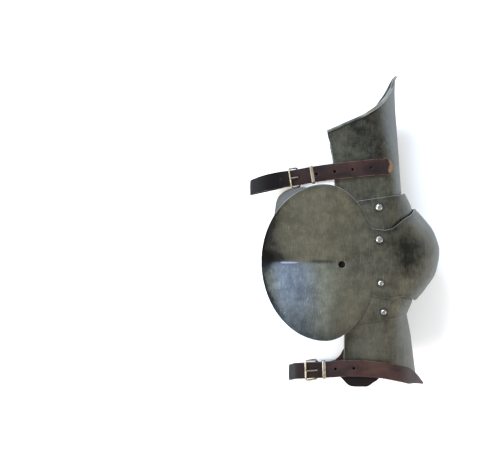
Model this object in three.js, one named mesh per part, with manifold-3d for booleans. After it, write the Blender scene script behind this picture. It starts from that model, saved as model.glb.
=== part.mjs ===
// Right leg poleyn with its thigh plate, greave plate and lames, lying on its inner side.
// Millimetres. +X is the front of the knee, +Y runs up the leg, +Z points to the outer side of the leg.
// The origin is the middle of the bottom of the part's box.
import * as THREE from "three";
import { mergeVertices } from "three/addons/utils/BufferGeometryUtils.js";
import Module from "manifold-3d";

const wasm = await Module();
wasm.setup();

// Steel
const WALL = 1.4;
const LAYER_GAP = 1.3;
const CLEARANCE = 0.3;

// Half widths of the three nested layers at the hinges, outer faces
const LEG_HALF_WIDTH = 78;
const LAME_HALF_WIDTH = LEG_HALF_WIDTH + WALL + LAYER_GAP;
const COP_HALF_WIDTH = LAME_HALF_WIDTH + WALL + LAYER_GAP;

// Hinge places in the side view, X and Y
const HINGE_X = 160;
const HINGE = {
  thigh: [HINGE_X, 30],
  upper: [HINGE_X, -10],
  lower: [HINGE_X + 1.8, -64],
  shin: [HINGE_X + 5.6, -100],
};
const BEND_START = HINGE_X + 8;
// How far each plate runs on past its hinge
const HINGE_END = 14;

// Hinge rivets
const RIVET = { upperHead: 4.6, lowerHead: 3.9, dome: 2.4, shank: 2.2, tail: 3.5, tailHeight: 1.2 };
const RIVET_SIDES = 10;

// Thigh plate
const THIGH_BOTTOM = HINGE.thigh[1] - HINGE_END;
const THIGH_HEIGHT = 193;
const THIGH_FRONT = 37;
const THIGH_REAR = 64;
// The inner side's share of the outer side's reach behind the hinge line
const THIGH_INNER_REAR = 0.7;
const RIM_RADIUS = 2;
// Columns: share of height, share of half width, share of front reach, shift of the bend, keel share
const THIGH_STATIONS = [
  [0.0, 1.0, 1.0, 0.0, 0.14],
  [0.19, 1.0, 0.94, 0.0, 0.16],
  [0.41, 1.0, 0.87, -8, 0.2],
  [0.59, 1.01, 0.8, -20, 0.22],
  [0.76, 1.035, 0.74, -32, 0.22],
  [0.88, 1.065, 0.72, -40, 0.22],
  [1.0, 1.1, 0.74, -44, 0.22],
];
// Columns: place round the section (0 ridge, 1 rear edge), share of height
const THIGH_TOP = [
  [0, 0.99],
  [0.025, 0.983],
  [0.06, 0.952],
  [0.09, 0.92],
  [0.13, 0.885],
  [0.22, 0.829],
  [0.32, 0.781],
  [0.43, 0.735],
  [0.65, 0.667],
  [0.83, 0.615],
  [1, 0.56],
];
const THIGH_LOW = [
  [0, 0.05],
  [0.3, 0.04],
  [0.55, 0.01],
  [0.7, 0.0],
  [0.85, 0.01],
  [1, 0.06],
];
// Columns: share of height, share of the rear reach behind the hinge line
const THIGH_REAR_EDGE = [
  [0, 0.42],
  [0.08, 0.66],
  [0.2, 0.83],
  [0.36, 0.875],
  [0.46, 0.925],
  [0.56, 1.0],
  [1, 1.0],
];

// Upper lame
const UPPER_LOW = HINGE.upper[1] - HINGE_END;
const UPPER_HEIGHT = 74.6;
const UPPER_FRONT = 52;
const UPPER_REAR = 38;
const UPPER_STATIONS = [
  [0.0, 1.0, 1.04, 0, 0.12],
  [0.43, 1.0, 1.0, 0, 0.12],
  [0.74, 1.0, 0.935, 0, 0.12],
  [1.0, 1.0, 0.755, 0, 0.14],
];
const UPPER_TOP = [
  [0, 1.0],
  [0.2, 0.985],
  [0.4, 0.945],
  [0.65, 0.9],
  [1, 0.81],
];
const UPPER_BOTTOM = [
  [0, 0.43],
  [0.3, 0.38],
  [0.48, 0.2],
  [0.62, 0.03],
  [0.8, 0.0],
  [1, 0.1],
];
const UPPER_REAR_EDGE = [
  [0, 0.36],
  [0.12, 0.62],
  [0.3, 0.88],
  [0.55, 1.0],
  [1, 0.94],
];

// Knee cop
const COP_LOW = -92;
const COP_HEIGHT = 122.5;
const COP_FRONT = 86;
const COP_STATIONS = [
  [0.0, 1.0, 0.605, 0, 0.1],
  [0.07, 1.0, 0.712, 0, 0.1],
  [0.145, 1.0, 0.795, 0, 0.09],
  [0.275, 1.0, 0.925, 0, 0.08],
  [0.42, 1.0, 0.982, 0, 0.07],
  [0.535, 1.0, 1.0, 0, 0.07],
  [0.605, 1.0, 0.987, 0, 0.07],
  [0.765, 1.0, 0.903, 0, 0.13],
  [0.885, 1.0, 0.772, 0, 0.22],
  [1.0, 1.0, 0.622, 0, 0.24],
];
// Columns: angle from the ridge in degrees, share of height
const COP_TOP = [
  [0, 1.0],
  [15, 0.985],
  [30, 0.955],
  [47, 0.915],
  [62, 0.88],
  [74, 0.83],
  [82, 0.787],
  [90, 0.766],
];
const COP_BOTTOM = [
  [0, 0.0],
  [15, 0.012],
  [30, 0.03],
  [50, 0.06],
  [70, 0.088],
  [80, 0.074],
  [90, 0.077],
];
const COP_NOTCH_X = HINGE_X - 10;
const COP_NOTCH_TOP = 4;
const COP_NOTCH_BOTTOM = -80;

// Wing, one plate with the cop's outer side
const WING_CENTRE_X = HINGE_X - 69;
const WING_CENTRE_Y = -37.5;
const WING_HEIGHT = 190;
const WING_REAR_REACH = 77;
const WING_FRONT_REACH = 66;
const WING_FLARE_TOP = 17;
const WING_FLARE_BOTTOM = 22;
const WING_LEAN = 5;
const WING_CREASE_POWER = 1.1;
const WING_HOLE = { x: HINGE_X - 46.3, y: -40.9, radius: 4.2 };

// Flat lobe on the inner side
const LOBE_REACH = 115;
const LOBE_MIDDLE_Y = -30;
const LOBE_HALF_HEIGHT = 94;
// Columns: share of the reach behind the notch, top share, bottom share of the half height
const LOBE_OUTLINE = [
  [0.0, 0.36, -0.53],
  [0.04, 0.5, -0.6],
  [0.09, 0.66, -0.68],
  [0.2, 0.86, -0.76],
  [0.35, 0.97, -0.82],
  [0.52, 1.0, -0.85],
  [0.7, 0.995, -0.83],
  [0.82, 0.965, -0.76],
  [0.91, 0.9, -0.62],
  [0.97, 0.79, -0.42],
  [1.0, 0.58, -0.15],
];

// Lower lame
const LOWER_HEIGHT = 68;
const LOWER_LOW = HINGE.lower[1] + HINGE_END - LOWER_HEIGHT;
const LOWER_FRONT = 50;
const LOWER_REAR = 40;
const LOWER_STATIONS = [
  [0.0, 1.0, 0.8, 0, 0.13],
  [0.19, 1.0, 0.875, 0, 0.13],
  [0.36, 1.0, 0.98, 0, 0.12],
  [0.6, 1.0, 1.03, 0, 0.12],
  [1.0, 1.0, 1.05, 0, 0.12],
];
const LOWER_TOP = [
  [0, 0.56],
  [0.3, 0.62],
  [0.48, 0.8],
  [0.62, 0.98],
  [0.8, 1.0],
  [1, 0.9],
];
const LOWER_BOTTOM = [
  [0, 0.17],
  [0.25, 0.16],
  [0.45, 0.14],
  [0.65, 0.115],
  [0.82, 0.07],
  [1, 0.0],
];
const LOWER_REAR_EDGE = [
  [0, 0.95],
  [0.4, 1.0],
  [0.7, 0.9],
  [0.88, 0.64],
  [1, 0.38],
];

// Greave plate
const SHIN_HEIGHT = 107;
const SHIN_LOW = HINGE.shin[1] + HINGE_END - SHIN_HEIGHT;
const SHIN_FRONT = 38;
const SHIN_REAR = 43.5;
const SHIN_INNER_REAR = 0.57;
const SHIN_STATIONS = [
  [0.0, 1.0, 1.44, -16, 0.14],
  [0.21, 1.0, 1.362, -15, 0.14],
  [0.54, 1.0, 1.24, -8, 0.14],
  [0.81, 1.0, 1.09, 0, 0.14],
  [1.0, 1.0, 1.0, 0, 0.14],
];
const SHIN_TOP = [
  [0, 0.94],
  [0.3, 0.955],
  [0.55, 0.99],
  [0.75, 1.0],
  [1, 0.93],
];
const SHIN_BOTTOM = [
  [0, 0.0],
  [0.035, 0.0],
  [0.16, 0.045],
  [0.34, 0.11],
  [0.65, 0.165],
  [1, 0.17],
];
const SHIN_REAR_EDGE = [
  [0, 1.0],
  [0.35, 0.99],
  [0.6, 0.965],
  [0.78, 0.9],
  [0.9, 0.72],
  [1, 0.5],
];

// Leather and buckles
const LEATHER = 2.0;
const STRAP_WIDTH = 20;
const CHAPE_WIDTH = 19;
const STRAP_LIFT = 1.8;
const STRAP_HOLE_RADIUS = 1.9;
const STRAP_HOLE_PITCH = 22.6;
const BUCKLE_LENGTH = 17;
const SHORT_BUCKLE_LENGTH = 13;
const BUCKLE_BAR = 2.2;
const BUCKLE_SIDE_CLEARANCE = 0.9;
const BUCKLE_CORNER = 2.5;
const PRONG_RADIUS = 0.9;
const KEEPER_WIDTH = 4;
const KEEPER_WALL = 1.1;
const STRAP_RIVET = { head: 3.6, dome: 1.1, shank: 1.6, tail: 2.8, tailHeight: 0.9 };
// The knee strap's rivets lie flush in the cop
const FLUSH_RIVET = { ...STRAP_RIVET, head: STRAP_RIVET.shank + 0.2, dome: 0.15 };
const FLUSH_CLEARANCE = 2 * CLEARANCE;

// Middle lines of the straps above the leg plates and above the plates inside the cop
const OUTER_RUN = LEG_HALF_WIDTH + CLEARANCE + LEATHER + STRAP_LIFT + LEATHER / 2;
const INNER_RUN = LEG_HALF_WIDTH + CLEARANCE + LEATHER / 2;
const KNEE_RUN = COP_HALF_WIDTH - WALL - CLEARANCE - LEATHER / 2;

// Depths of the strap loops behind the hinge line, and heights of the strap on the plates
const THIGH_STRAP = {
  reach: 159,
  y: HINGE.thigh[1] + 44.4,
  tip: 17,
  buckle: 105,
  keeper: 83,
  rivet: 40,
  anchor: 26,
};
const SHIN_STRAP = {
  reach: 107,
  y: SHIN_LOW + 23,
  tip: 69,
  buckle: 90,
  keeper: 68.5,
  rivet: 26,
  anchor: 0,
};
// How far a strap runs on past the rivet that holds it
const STRAP_END = 11;
// The tab of the greave's buckle strap. Columns: distance from its end, reach below the strap
const SHIN_TAB = [
  [0, 2],
  [8, 6],
  [17, 12.5],
  [24, 13.5],
  [38, 13.5],
  [45, 10.5],
  [54, 1],
  [58, 0],
];
const KNEE_STRAP = { reach: 122, y: -37, anchor: 24 };

const plates = new Map();
const group = new THREE.Group();

const STEEL = { color: 0x5a5b52, roughness: 0.42, metalness: 0.9 };
const RIVET_STEEL = { color: 0xb9b9b4, roughness: 0.3, metalness: 0.95 };
const HIDE = { color: 0x3a221c, roughness: 0.6, metalness: 0 };
const NICKEL = { color: 0xb7ac8c, roughness: 0.3, metalness: 0.9 };

// A smooth curve through a table's rows: cubic Hermite pieces with slopes from the neighbouring rows.
function smooth(rows, at, column = 1) {
  const last = rows.length - 1;
  if (at <= rows[0][0]) return rows[0][column];
  if (at >= rows[last][0]) return rows[last][column];
  let i = 0;
  while (rows[i + 1][0] < at) i++;
  const slope = (k) => {
    const a = Math.max(k - 1, 0);
    const b = Math.min(k + 1, last);
    return (rows[b][column] - rows[a][column]) / (rows[b][0] - rows[a][0]);
  };
  const span = rows[i + 1][0] - rows[i][0];
  const t = (at - rows[i][0]) / span;
  const ease = t * t * (3 - 2 * t);
  return (
    rows[i][column] * (1 - ease) +
    rows[i + 1][column] * ease +
    span * (slope(i) * t * (1 - t) * (1 - t) - slope(i + 1) * t * t * (1 - t))
  );
}

// The front of a plate's section at an angle from the ridge: half an ellipse with a keel at its middle.
function frontX(bend, reach, keel, angle) {
  const round = Math.cos(angle) * reach * (1 - keel);
  return bend + round + reach * keel * (1 - Math.abs(Math.sin(angle))) ** 2;
}

// One station of a plate at a height share.
function station(rows, share, halfWidth, reach) {
  return {
    half: halfWidth * smooth(rows, share, 1),
    reach: reach * smooth(rows, share, 2) - smooth(rows, share, 3),
    bend: BEND_START + smooth(rows, share, 3),
    keel: smooth(rows, share, 4),
  };
}

const ARC_END = 0.65;
const SIDE_STEPS = 2;
const ARC_STEPS = 20;

// Places round a leg plate's section, from the inner rear edge over the ridge to the outer rear edge.
function sectionPlaces() {
  const places = [];
  for (let i = 0; i < SIDE_STEPS; i++) places.push(-1 + ((1 - ARC_END) * i) / SIDE_STEPS);
  for (let i = 0; i <= ARC_STEPS; i++) places.push(-ARC_END + (2 * ARC_END * i) / ARC_STEPS);
  for (let i = 1; i <= SIDE_STEPS; i++) places.push(ARC_END + ((1 - ARC_END) * i) / SIDE_STEPS);
  return places;
}

// A point of a plate that bends round the leg: place goes from -1 to 1 round it, rise from 0 to 1 up it.
function legPoint(plate, place, rise) {
  const round = Math.abs(place);
  const side = Math.sign(place);
  const lowShare = smooth(plate.bottom, round);
  const share = lowShare + (smooth(plate.top, round) - lowShare) * rise;
  const s = station(plate.stations, share, plate.halfWidth, plate.front);
  const y = plate.low + plate.height * share;
  if (round <= ARC_END) {
    const angle = ((Math.PI / 2) * place) / ARC_END;
    return new THREE.Vector3(frontX(s.bend, s.reach, s.keel, angle), y, s.half * Math.sin(angle));
  }
  const back = (round - ARC_END) / (1 - ARC_END);
  const rearReach = plate.rear * (side < 0 ? plate.innerRear : 1);
  const rear = HINGE_X - rearReach * smooth(plate.rearEdge, share);
  return new THREE.Vector3(s.bend + (rear - s.bend) * back, y, s.half * side);
}

// A wall of one thickness under a grid of points: the grid is its outer face.
function wallGeometry(grid, thickness) {
  const across = grid.length;
  const up = grid[0].length;
  const positions = [];
  const inner = [];
  for (let i = 0; i < across; i++) {
    for (let j = 0; j < up; j++) {
      const along = grid[Math.min(i + 1, across - 1)][j].clone().sub(grid[Math.max(i - 1, 0)][j]);
      const rise = grid[i][Math.min(j + 1, up - 1)].clone().sub(grid[i][Math.max(j - 1, 0)]);
      const normal = rise.cross(along).normalize();
      positions.push(...grid[i][j]);
      inner.push(...grid[i][j].clone().addScaledVector(normal, -thickness));
    }
  }
  const count = across * up;
  positions.push(...inner);
  const index = [];
  const quad = (a, b, c, d) => index.push(a, b, c, a, c, d);
  const id = (i, j) => i * up + j;
  for (let i = 0; i + 1 < across; i++) {
    for (let j = 0; j + 1 < up; j++) {
      const [a, b, c, d] = [id(i, j), id(i, j + 1), id(i + 1, j + 1), id(i + 1, j)];
      quad(a, b, c, d);
      quad(a + count, d + count, c + count, b + count);
    }
    const [a, d] = [id(i, 0), id(i + 1, 0)];
    quad(a, d, d + count, a + count);
    const [b, c] = [id(i, up - 1), id(i + 1, up - 1)];
    quad(b, b + count, c + count, c);
  }
  for (let j = 0; j + 1 < up; j++) {
    const [a, b] = [id(0, j), id(0, j + 1)];
    quad(a, a + count, b + count, b);
    const [d, c] = [id(across - 1, j), id(across - 1, j + 1)];
    quad(d, c, c + count, d + count);
  }
  const geometry = new THREE.BufferGeometry();
  geometry.setAttribute("position", new THREE.Float32BufferAttribute(positions, 3));
  geometry.setIndex(index);
  return geometry;
}

function solid(geometry) {
  const bare = geometry.clone();
  bare.deleteAttribute("normal");
  bare.deleteAttribute("uv");
  const merged = mergeVertices(bare, 1e-4);
  const mesh = new wasm.Mesh({
    numProp: 3,
    vertProperties: new Float32Array(merged.attributes.position.array),
    triVerts: new Uint32Array(merged.index.array),
  });
  return new wasm.Manifold(mesh);
}

function geometryOf(body) {
  const mesh = body.getMesh();
  const geometry = new THREE.BufferGeometry();
  geometry.setAttribute("position", new THREE.Float32BufferAttribute(mesh.vertProperties, 3));
  geometry.setIndex(Array.from(mesh.triVerts));
  return geometry;
}

function addMesh(name, geometry, look) {
  const mesh = new THREE.Mesh(geometry, new THREE.MeshStandardMaterial(look));
  geometry.computeVertexNormals();
  mesh.name = name;
  group.add(mesh);
  return mesh;
}

// A round pin along Z, as a cutter.
function pin(x, y, radius, low, high, sides = RIVET_SIDES) {
  const shape = new THREE.CylinderGeometry(radius, radius, high - low, sides);
  return shape.rotateX(Math.PI / 2).translate(x, y, (low + high) / 2);
}

// A grid over a leg plate with the given number of steps up it.
function legGrid(plate, steps) {
  return sectionPlaces().map((place) => {
    const column = [];
    for (let j = 0; j <= steps; j++) column.push(legPoint(plate, place, j / steps));
    return column;
  });
}

const thigh = {
  low: THIGH_BOTTOM,
  height: THIGH_HEIGHT,
  halfWidth: LEG_HALF_WIDTH,
  front: THIGH_FRONT,
  rear: THIGH_REAR,
  innerRear: THIGH_INNER_REAR,
  stations: THIGH_STATIONS,
  top: THIGH_TOP,
  bottom: THIGH_LOW,
  rearEdge: THIGH_REAR_EDGE,
};
const upper = {
  low: UPPER_LOW,
  height: UPPER_HEIGHT,
  halfWidth: LAME_HALF_WIDTH,
  front: UPPER_FRONT,
  rear: UPPER_REAR,
  innerRear: 1,
  stations: UPPER_STATIONS,
  top: UPPER_TOP,
  bottom: UPPER_BOTTOM,
  rearEdge: UPPER_REAR_EDGE,
};
const lower = {
  low: LOWER_LOW,
  height: LOWER_HEIGHT,
  halfWidth: LAME_HALF_WIDTH,
  front: LOWER_FRONT,
  rear: LOWER_REAR,
  innerRear: 1,
  stations: LOWER_STATIONS,
  top: LOWER_TOP,
  bottom: LOWER_BOTTOM,
  rearEdge: LOWER_REAR_EDGE,
};
const shin = {
  low: SHIN_LOW,
  height: SHIN_HEIGHT,
  halfWidth: LEG_HALF_WIDTH,
  front: SHIN_FRONT,
  rear: SHIN_REAR,
  innerRear: SHIN_INNER_REAR,
  stations: SHIN_STATIONS,
  top: SHIN_TOP,
  bottom: SHIN_BOTTOM,
  rearEdge: SHIN_REAR_EDGE,
};

// How far the wing stands out from the cop's side: two halves that flare away from a valley.
function wingFlare(x, y) {
  const back = THREE.MathUtils.clamp((COP_NOTCH_X - x) / (COP_NOTCH_X - WING_CENTRE_X), 0, 1);
  const ease = back * back * (3 - 2 * back);
  const away = (y - WING_CENTRE_Y) / (WING_HEIGHT / 2);
  const flare = away > 0 ? WING_FLARE_TOP : WING_FLARE_BOTTOM;
  const rear = (COP_NOTCH_X - x) / (COP_NOTCH_X - WING_CENTRE_X + WING_REAR_REACH);
  const lean = WING_LEAN * rear ** 2 * (1 - Math.abs(away));
  return flare * Math.abs(away) ** WING_CREASE_POWER * ease - lean;
}

const COP_ARC_STEPS = 22;
const COP_RISE_STEPS = 9;
const WING_STEPS = 12;
const WING_END_ANGLE = THREE.MathUtils.degToRad(87);

function copGrid() {
  const grid = [];
  const columnAt = (x, bottom, top, height) => {
    const column = [];
    for (let j = 0; j <= COP_RISE_STEPS; j++) {
      const y = bottom + ((top - bottom) * j) / COP_RISE_STEPS;
      column.push(new THREE.Vector3(x, y, height(x, y)));
    }
    grid.push(column);
  };
  const sideTop = COP_LOW + COP_HEIGHT * smooth(COP_TOP, 90);
  const sideBottom = COP_LOW + COP_HEIGHT * smooth(COP_BOTTOM, 90);
  const middleX = (COP_NOTCH_X + BEND_START) / 2;
  for (const [reach, top, bottom] of [...LOBE_OUTLINE].reverse()) {
    columnAt(
      COP_NOTCH_X - LOBE_REACH * reach,
      LOBE_MIDDLE_Y + LOBE_HALF_HEIGHT * bottom,
      LOBE_MIDDLE_Y + LOBE_HALF_HEIGHT * top,
      () => -COP_HALF_WIDTH,
    );
  }
  columnAt(middleX, sideBottom, sideTop, () => -COP_HALF_WIDTH);
  for (let i = 0; i <= COP_ARC_STEPS; i++) {
    const degrees = -90 + (180 * i) / COP_ARC_STEPS;
    const low = smooth(COP_BOTTOM, Math.abs(degrees));
    const high = smooth(COP_TOP, Math.abs(degrees));
    const angle = THREE.MathUtils.degToRad(degrees);
    const column = [];
    for (let j = 0; j <= COP_RISE_STEPS; j++) {
      const share = low + ((high - low) * j) / COP_RISE_STEPS;
      const s = station(COP_STATIONS, share, COP_HALF_WIDTH, COP_FRONT);
      const x = frontX(s.bend, s.reach, s.keel, angle);
      column.push(new THREE.Vector3(x, COP_LOW + COP_HEIGHT * share, s.half * Math.sin(angle)));
    }
    grid.push(column);
  }
  columnAt(middleX, sideBottom, sideTop, () => COP_HALF_WIDTH);
  columnAt(COP_NOTCH_X, COP_NOTCH_BOTTOM, COP_NOTCH_TOP, () => COP_HALF_WIDTH);
  const notchAngle = Math.asin((COP_NOTCH_X - WING_CENTRE_X) / WING_FRONT_REACH);
  for (let i = 1; i <= WING_STEPS; i++) {
    const angle = -notchAngle + ((notchAngle + WING_END_ANGLE) * i) / WING_STEPS;
    const reach = angle < 0 ? WING_FRONT_REACH : WING_REAR_REACH;
    const x = WING_CENTRE_X - reach * Math.sin(angle);
    const half = (WING_HEIGHT / 2) * Math.cos(angle);
    columnAt(x, WING_CENTRE_Y - half, WING_CENTRE_Y + half, (px, py) => {
      return COP_HALF_WIDTH + wingFlare(px, py);
    });
  }
  return grid;
}

// A tube along the top edge of the thigh plate, joined to it.
function rimGeometry(grid) {
  const path = new THREE.CatmullRomCurve3(grid.map((column) => column[column.length - 1]));
  const ring = new THREE.Shape();
  ring.absarc(0, 0, RIM_RADIUS, 0, 2 * Math.PI, false);
  return new THREE.ExtrudeGeometry(ring, { steps: 26, curveSegments: 2, extrudePath: path });
}

const thighGrid = legGrid(thigh, 7);
plates.set("thigh_plate", solid(wallGeometry(thighGrid, WALL)).add(solid(rimGeometry(thighGrid))));
plates.set("upper_lame", solid(wallGeometry(legGrid(upper, 3), WALL)));
plates.set("knee_cop", solid(wallGeometry(copGrid(), WALL)));
plates.set("lower_lame", solid(wallGeometry(legGrid(lower, 3), WALL)));
plates.set("greave_plate", solid(wallGeometry(legGrid(shin, 5), WALL)));

function punch(name, cutter) {
  plates.set(name, plates.get(name).subtract(solid(cutter)));
}

// A rivet along Z: domed head above high, tail below low.
function rivetGeometry(size, low, high) {
  const profile = [
    [0, low - CLEARANCE - size.tailHeight],
    [size.tail * 0.8, low - CLEARANCE - size.tailHeight],
    [size.tail, low - CLEARANCE],
    [size.shank, low - CLEARANCE],
    [size.shank, high + CLEARANCE],
    [size.head, high + CLEARANCE],
    [size.head * 0.86, high + CLEARANCE + size.dome * 0.5],
    [size.head * 0.5, high + CLEARANCE + size.dome * 0.87],
    [0, high + CLEARANCE + size.dome],
  ];
  const points = profile.map(([r, z]) => new THREE.Vector2(r, z));
  return new THREE.LatheGeometry(points, RIVET_SIDES).rotateX(Math.PI / 2);
}

// The hinge rivets, one on each side of the leg at each hinge, and the holes that they turn in.
const hinges = [
  ["thigh", "upper_lame", LAME_HALF_WIDTH, "thigh_plate", LEG_HALF_WIDTH, RIVET.upperHead],
  ["upper", "knee_cop", COP_HALF_WIDTH, "upper_lame", LAME_HALF_WIDTH, RIVET.upperHead],
  ["lower", "knee_cop", COP_HALF_WIDTH, "lower_lame", LAME_HALF_WIDTH, RIVET.lowerHead],
  ["shin", "lower_lame", LAME_HALF_WIDTH, "greave_plate", LEG_HALF_WIDTH, RIVET.lowerHead],
];
for (const [hinge, over, overHalf, under, underHalf, head] of hinges) {
  const [x, y] = HINGE[hinge];
  const size = { ...RIVET, head };
  for (const [side, sign] of [["outer", 1], ["inner", -1]]) {
    const rivet = rivetGeometry(size, underHalf - WALL, overHalf);
    if (sign < 0) rivet.rotateX(Math.PI);
    addMesh(`${hinge}_hinge_rivet_${side}`, rivet.translate(x, y, 0), RIVET_STEEL);
    for (const [name, half] of [[over, overHalf], [under, underHalf]]) {
      const ends = [sign * (half - 3 * WALL), sign * (half + 2 * WALL)];
      punch(name, pin(x, y, RIVET.shank + CLEARANCE, Math.min(...ends), Math.max(...ends)));
    }
  }
}
punch(
  "knee_cop",
  pin(WING_HOLE.x, WING_HOLE.y, WING_HOLE.radius, COP_HALF_WIDTH - 20, COP_HALF_WIDTH + 20, 16),
);

// The strap's own axes at a share of its length: along it, across it and out of its hair side.
function strapFrame(path, share) {
  const along = path.getTangentAt(share);
  const across = new THREE.Vector3(0, 1, 0).addScaledVector(along, -along.y).normalize();
  const out = along.clone().cross(across);
  return { point: path.getPointAt(share), along, across, out };
}

// A flat band along a path between two shares of its length; shift moves it out of the path's surface.
function bandGeometry(path, from, to, steps, widthAt, shift = 0, slide = () => 0) {
  const positions = [];
  for (let i = 0; i <= steps; i++) {
    const share = from + ((to - from) * i) / steps;
    const frame = strapFrame(path, share);
    const half = widthAt(share) / 2;
    const middle = frame.point
      .clone()
      .addScaledVector(frame.out, shift)
      .addScaledVector(frame.across, slide(share));
    for (const [a, n] of [[-1, -1], [1, -1], [1, 1], [-1, 1]]) {
      const corner = middle.clone().addScaledVector(frame.across, a * half);
      positions.push(...corner.addScaledVector(frame.out, (n * LEATHER) / 2));
    }
  }
  const index = [];
  for (let i = 0; i < steps; i++) {
    for (let k = 0; k < 4; k++) {
      const a = i * 4 + k;
      const b = i * 4 + ((k + 1) % 4);
      index.push(a, b, b + 4, a, b + 4, a + 4);
    }
  }
  const end = steps * 4;
  index.push(0, 2, 1, 0, 3, 2, end, end + 1, end + 2, end, end + 2, end + 3);
  const geometry = new THREE.BufferGeometry();
  geometry.setAttribute("position", new THREE.Float32BufferAttribute(positions, 3));
  geometry.setIndex(index);
  return geometry;
}

// Puts a geometry made in a strap's own axes where the strap is.
function seat(geometry, frame) {
  const turn = new THREE.Matrix4().makeBasis(frame.along, frame.across, frame.out);
  return geometry.applyMatrix4(turn.setPosition(frame.point));
}

function roundedRectangle(length, width, corner) {
  const path = new THREE.Path();
  const [x, y] = [length / 2, width / 2];
  path.moveTo(-x + corner, -y);
  path.lineTo(x - corner, -y);
  path.absarc(x - corner, -y + corner, corner, -Math.PI / 2, 0, false);
  path.lineTo(x, y - corner);
  path.absarc(x - corner, y - corner, corner, 0, Math.PI / 2, false);
  path.lineTo(-x + corner, y);
  path.absarc(-x + corner, y - corner, corner, Math.PI / 2, Math.PI, false);
  path.lineTo(-x, -y + corner);
  path.absarc(-x + corner, -y + corner, corner, Math.PI, 1.5 * Math.PI, false);
  return path;
}

function frameShape(length, width, bar, corner) {
  const shape = new THREE.Shape(roundedRectangle(length, width, corner).getPoints(2));
  const inside = roundedRectangle(length - 2 * bar, width - 2 * bar, Math.max(corner - bar, 0.4));
  shape.holes.push(new THREE.Path(inside.getPoints(2)));
  return shape;
}

// Heights above the strap's middle: the bar that lies on it and the bar in the fold of the buckle strap.
const FOLD_RADIUS = 3.3;
const FOLD_BORE = 2.0;
const BAR_CORNER = BUCKLE_BAR * 0.7;
const HIGH_BAR = LEATHER / 2 + CLEARANCE + BAR_CORNER;
const LOW_BAR = -(LEATHER / 2 + CLEARANCE + FOLD_RADIUS);
const CHAPE_SHIFT = -(LEATHER + STRAP_LIFT);

function buckleFrame(frame, span) {
  const width = STRAP_WIDTH + 2 * (BUCKLE_SIDE_CLEARANCE + BUCKLE_BAR);
  const tilt = Math.atan((HIGH_BAR - LOW_BAR) / span);
  const length = span / Math.cos(tilt) + BUCKLE_BAR;
  const shape = frameShape(length, width, BUCKLE_BAR, BUCKLE_CORNER);
  const geometry = new THREE.ExtrudeGeometry(shape, { depth: BUCKLE_BAR, bevelEnabled: false });
  geometry.translate(0, 0, -BUCKLE_BAR / 2).rotateY(tilt);
  return seat(geometry.translate(0, 0, (HIGH_BAR + LOW_BAR) / 2), frame);
}

function prongGeometry(frame, span) {
  const tip = HIGH_BAR + BAR_CORNER + CLEARANCE + PRONG_RADIUS;
  const foot = LOW_BAR + BAR_CORNER + CLEARANCE;
  const half = span / 2;
  const path = new THREE.CatmullRomCurve3([
    new THREE.Vector3(half, 0, foot),
    new THREE.Vector3(half, 0, LEATHER / 2 - 0.4),
    new THREE.Vector3(half - 1.4, 0, LEATHER / 2 + 1.5),
    new THREE.Vector3(0, 0, (tip + LEATHER / 2 + 1.5) / 2 + 0.2),
    new THREE.Vector3(-half - BUCKLE_BAR / 2, 0, tip),
  ]);
  const ring = new THREE.Shape();
  ring.absarc(0, 0, PRONG_RADIUS, 0, 2 * Math.PI, false);
  const bar = new THREE.ExtrudeGeometry(ring, { steps: 10, curveSegments: 3, extrudePath: path });
  return seat(bar, frame);
}

function keeperGeometry(frame) {
  const low = CHAPE_SHIFT - LEATHER / 2 - CLEARANCE;
  const high = LEATHER / 2 + CLEARANCE;
  const width = STRAP_WIDTH + 2 * (CLEARANCE + KEEPER_WALL);
  const shape = frameShape(width, high - low + 2 * KEEPER_WALL, KEEPER_WALL, 1.3);
  const geometry = new THREE.ExtrudeGeometry(shape, { depth: KEEPER_WIDTH, bevelEnabled: false });
  geometry.translate(0, (high + low) / 2, -KEEPER_WIDTH / 2);
  // The drawn outline's X runs across the strap and its Y out of it.
  geometry.applyMatrix4(
    new THREE.Matrix4().makeBasis(
      new THREE.Vector3(0, 1, 0),
      new THREE.Vector3(0, 0, 1),
      new THREE.Vector3(1, 0, 0),
    ),
  );
  return seat(geometry, frame);
}

// The fold of the buckle strap round the buckle's bar, with a slot for the prong.
function foldSolids(frame, span) {
  const place = [span / 2, 0, LOW_BAR];
  const roll = new THREE.CylinderGeometry(FOLD_RADIUS, FOLD_RADIUS, CHAPE_WIDTH, 14);
  const hollow = new THREE.CylinderGeometry(FOLD_BORE, FOLD_BORE, CHAPE_WIDTH + 2, 10);
  roll.translate(...place);
  hollow.translate(...place);
  const slot = new THREE.BoxGeometry(2 * FOLD_RADIUS + 3, 2 * PRONG_RADIUS + 1.6, 2 * FOLD_RADIUS);
  slot.translate(place[0] - 1, 0, LOW_BAR + FOLD_RADIUS);
  return [roll, hollow, slot].map((geometry) => solid(seat(geometry, frame)));
}

// A pin through a strap, as a cutter.
function strapPin(frame, radius, reach, sides = 8) {
  const cutter = new THREE.CylinderGeometry(radius, radius, 2 * reach, sides);
  return solid(seat(cutter.rotateX(Math.PI / 2), frame));
}

function shareAtX(path, x) {
  const steps = 800;
  for (let i = steps; i > 0; i--) {
    if (path.getPointAt(i / steps).x <= x) return i / steps;
  }
  return 0;
}

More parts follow.
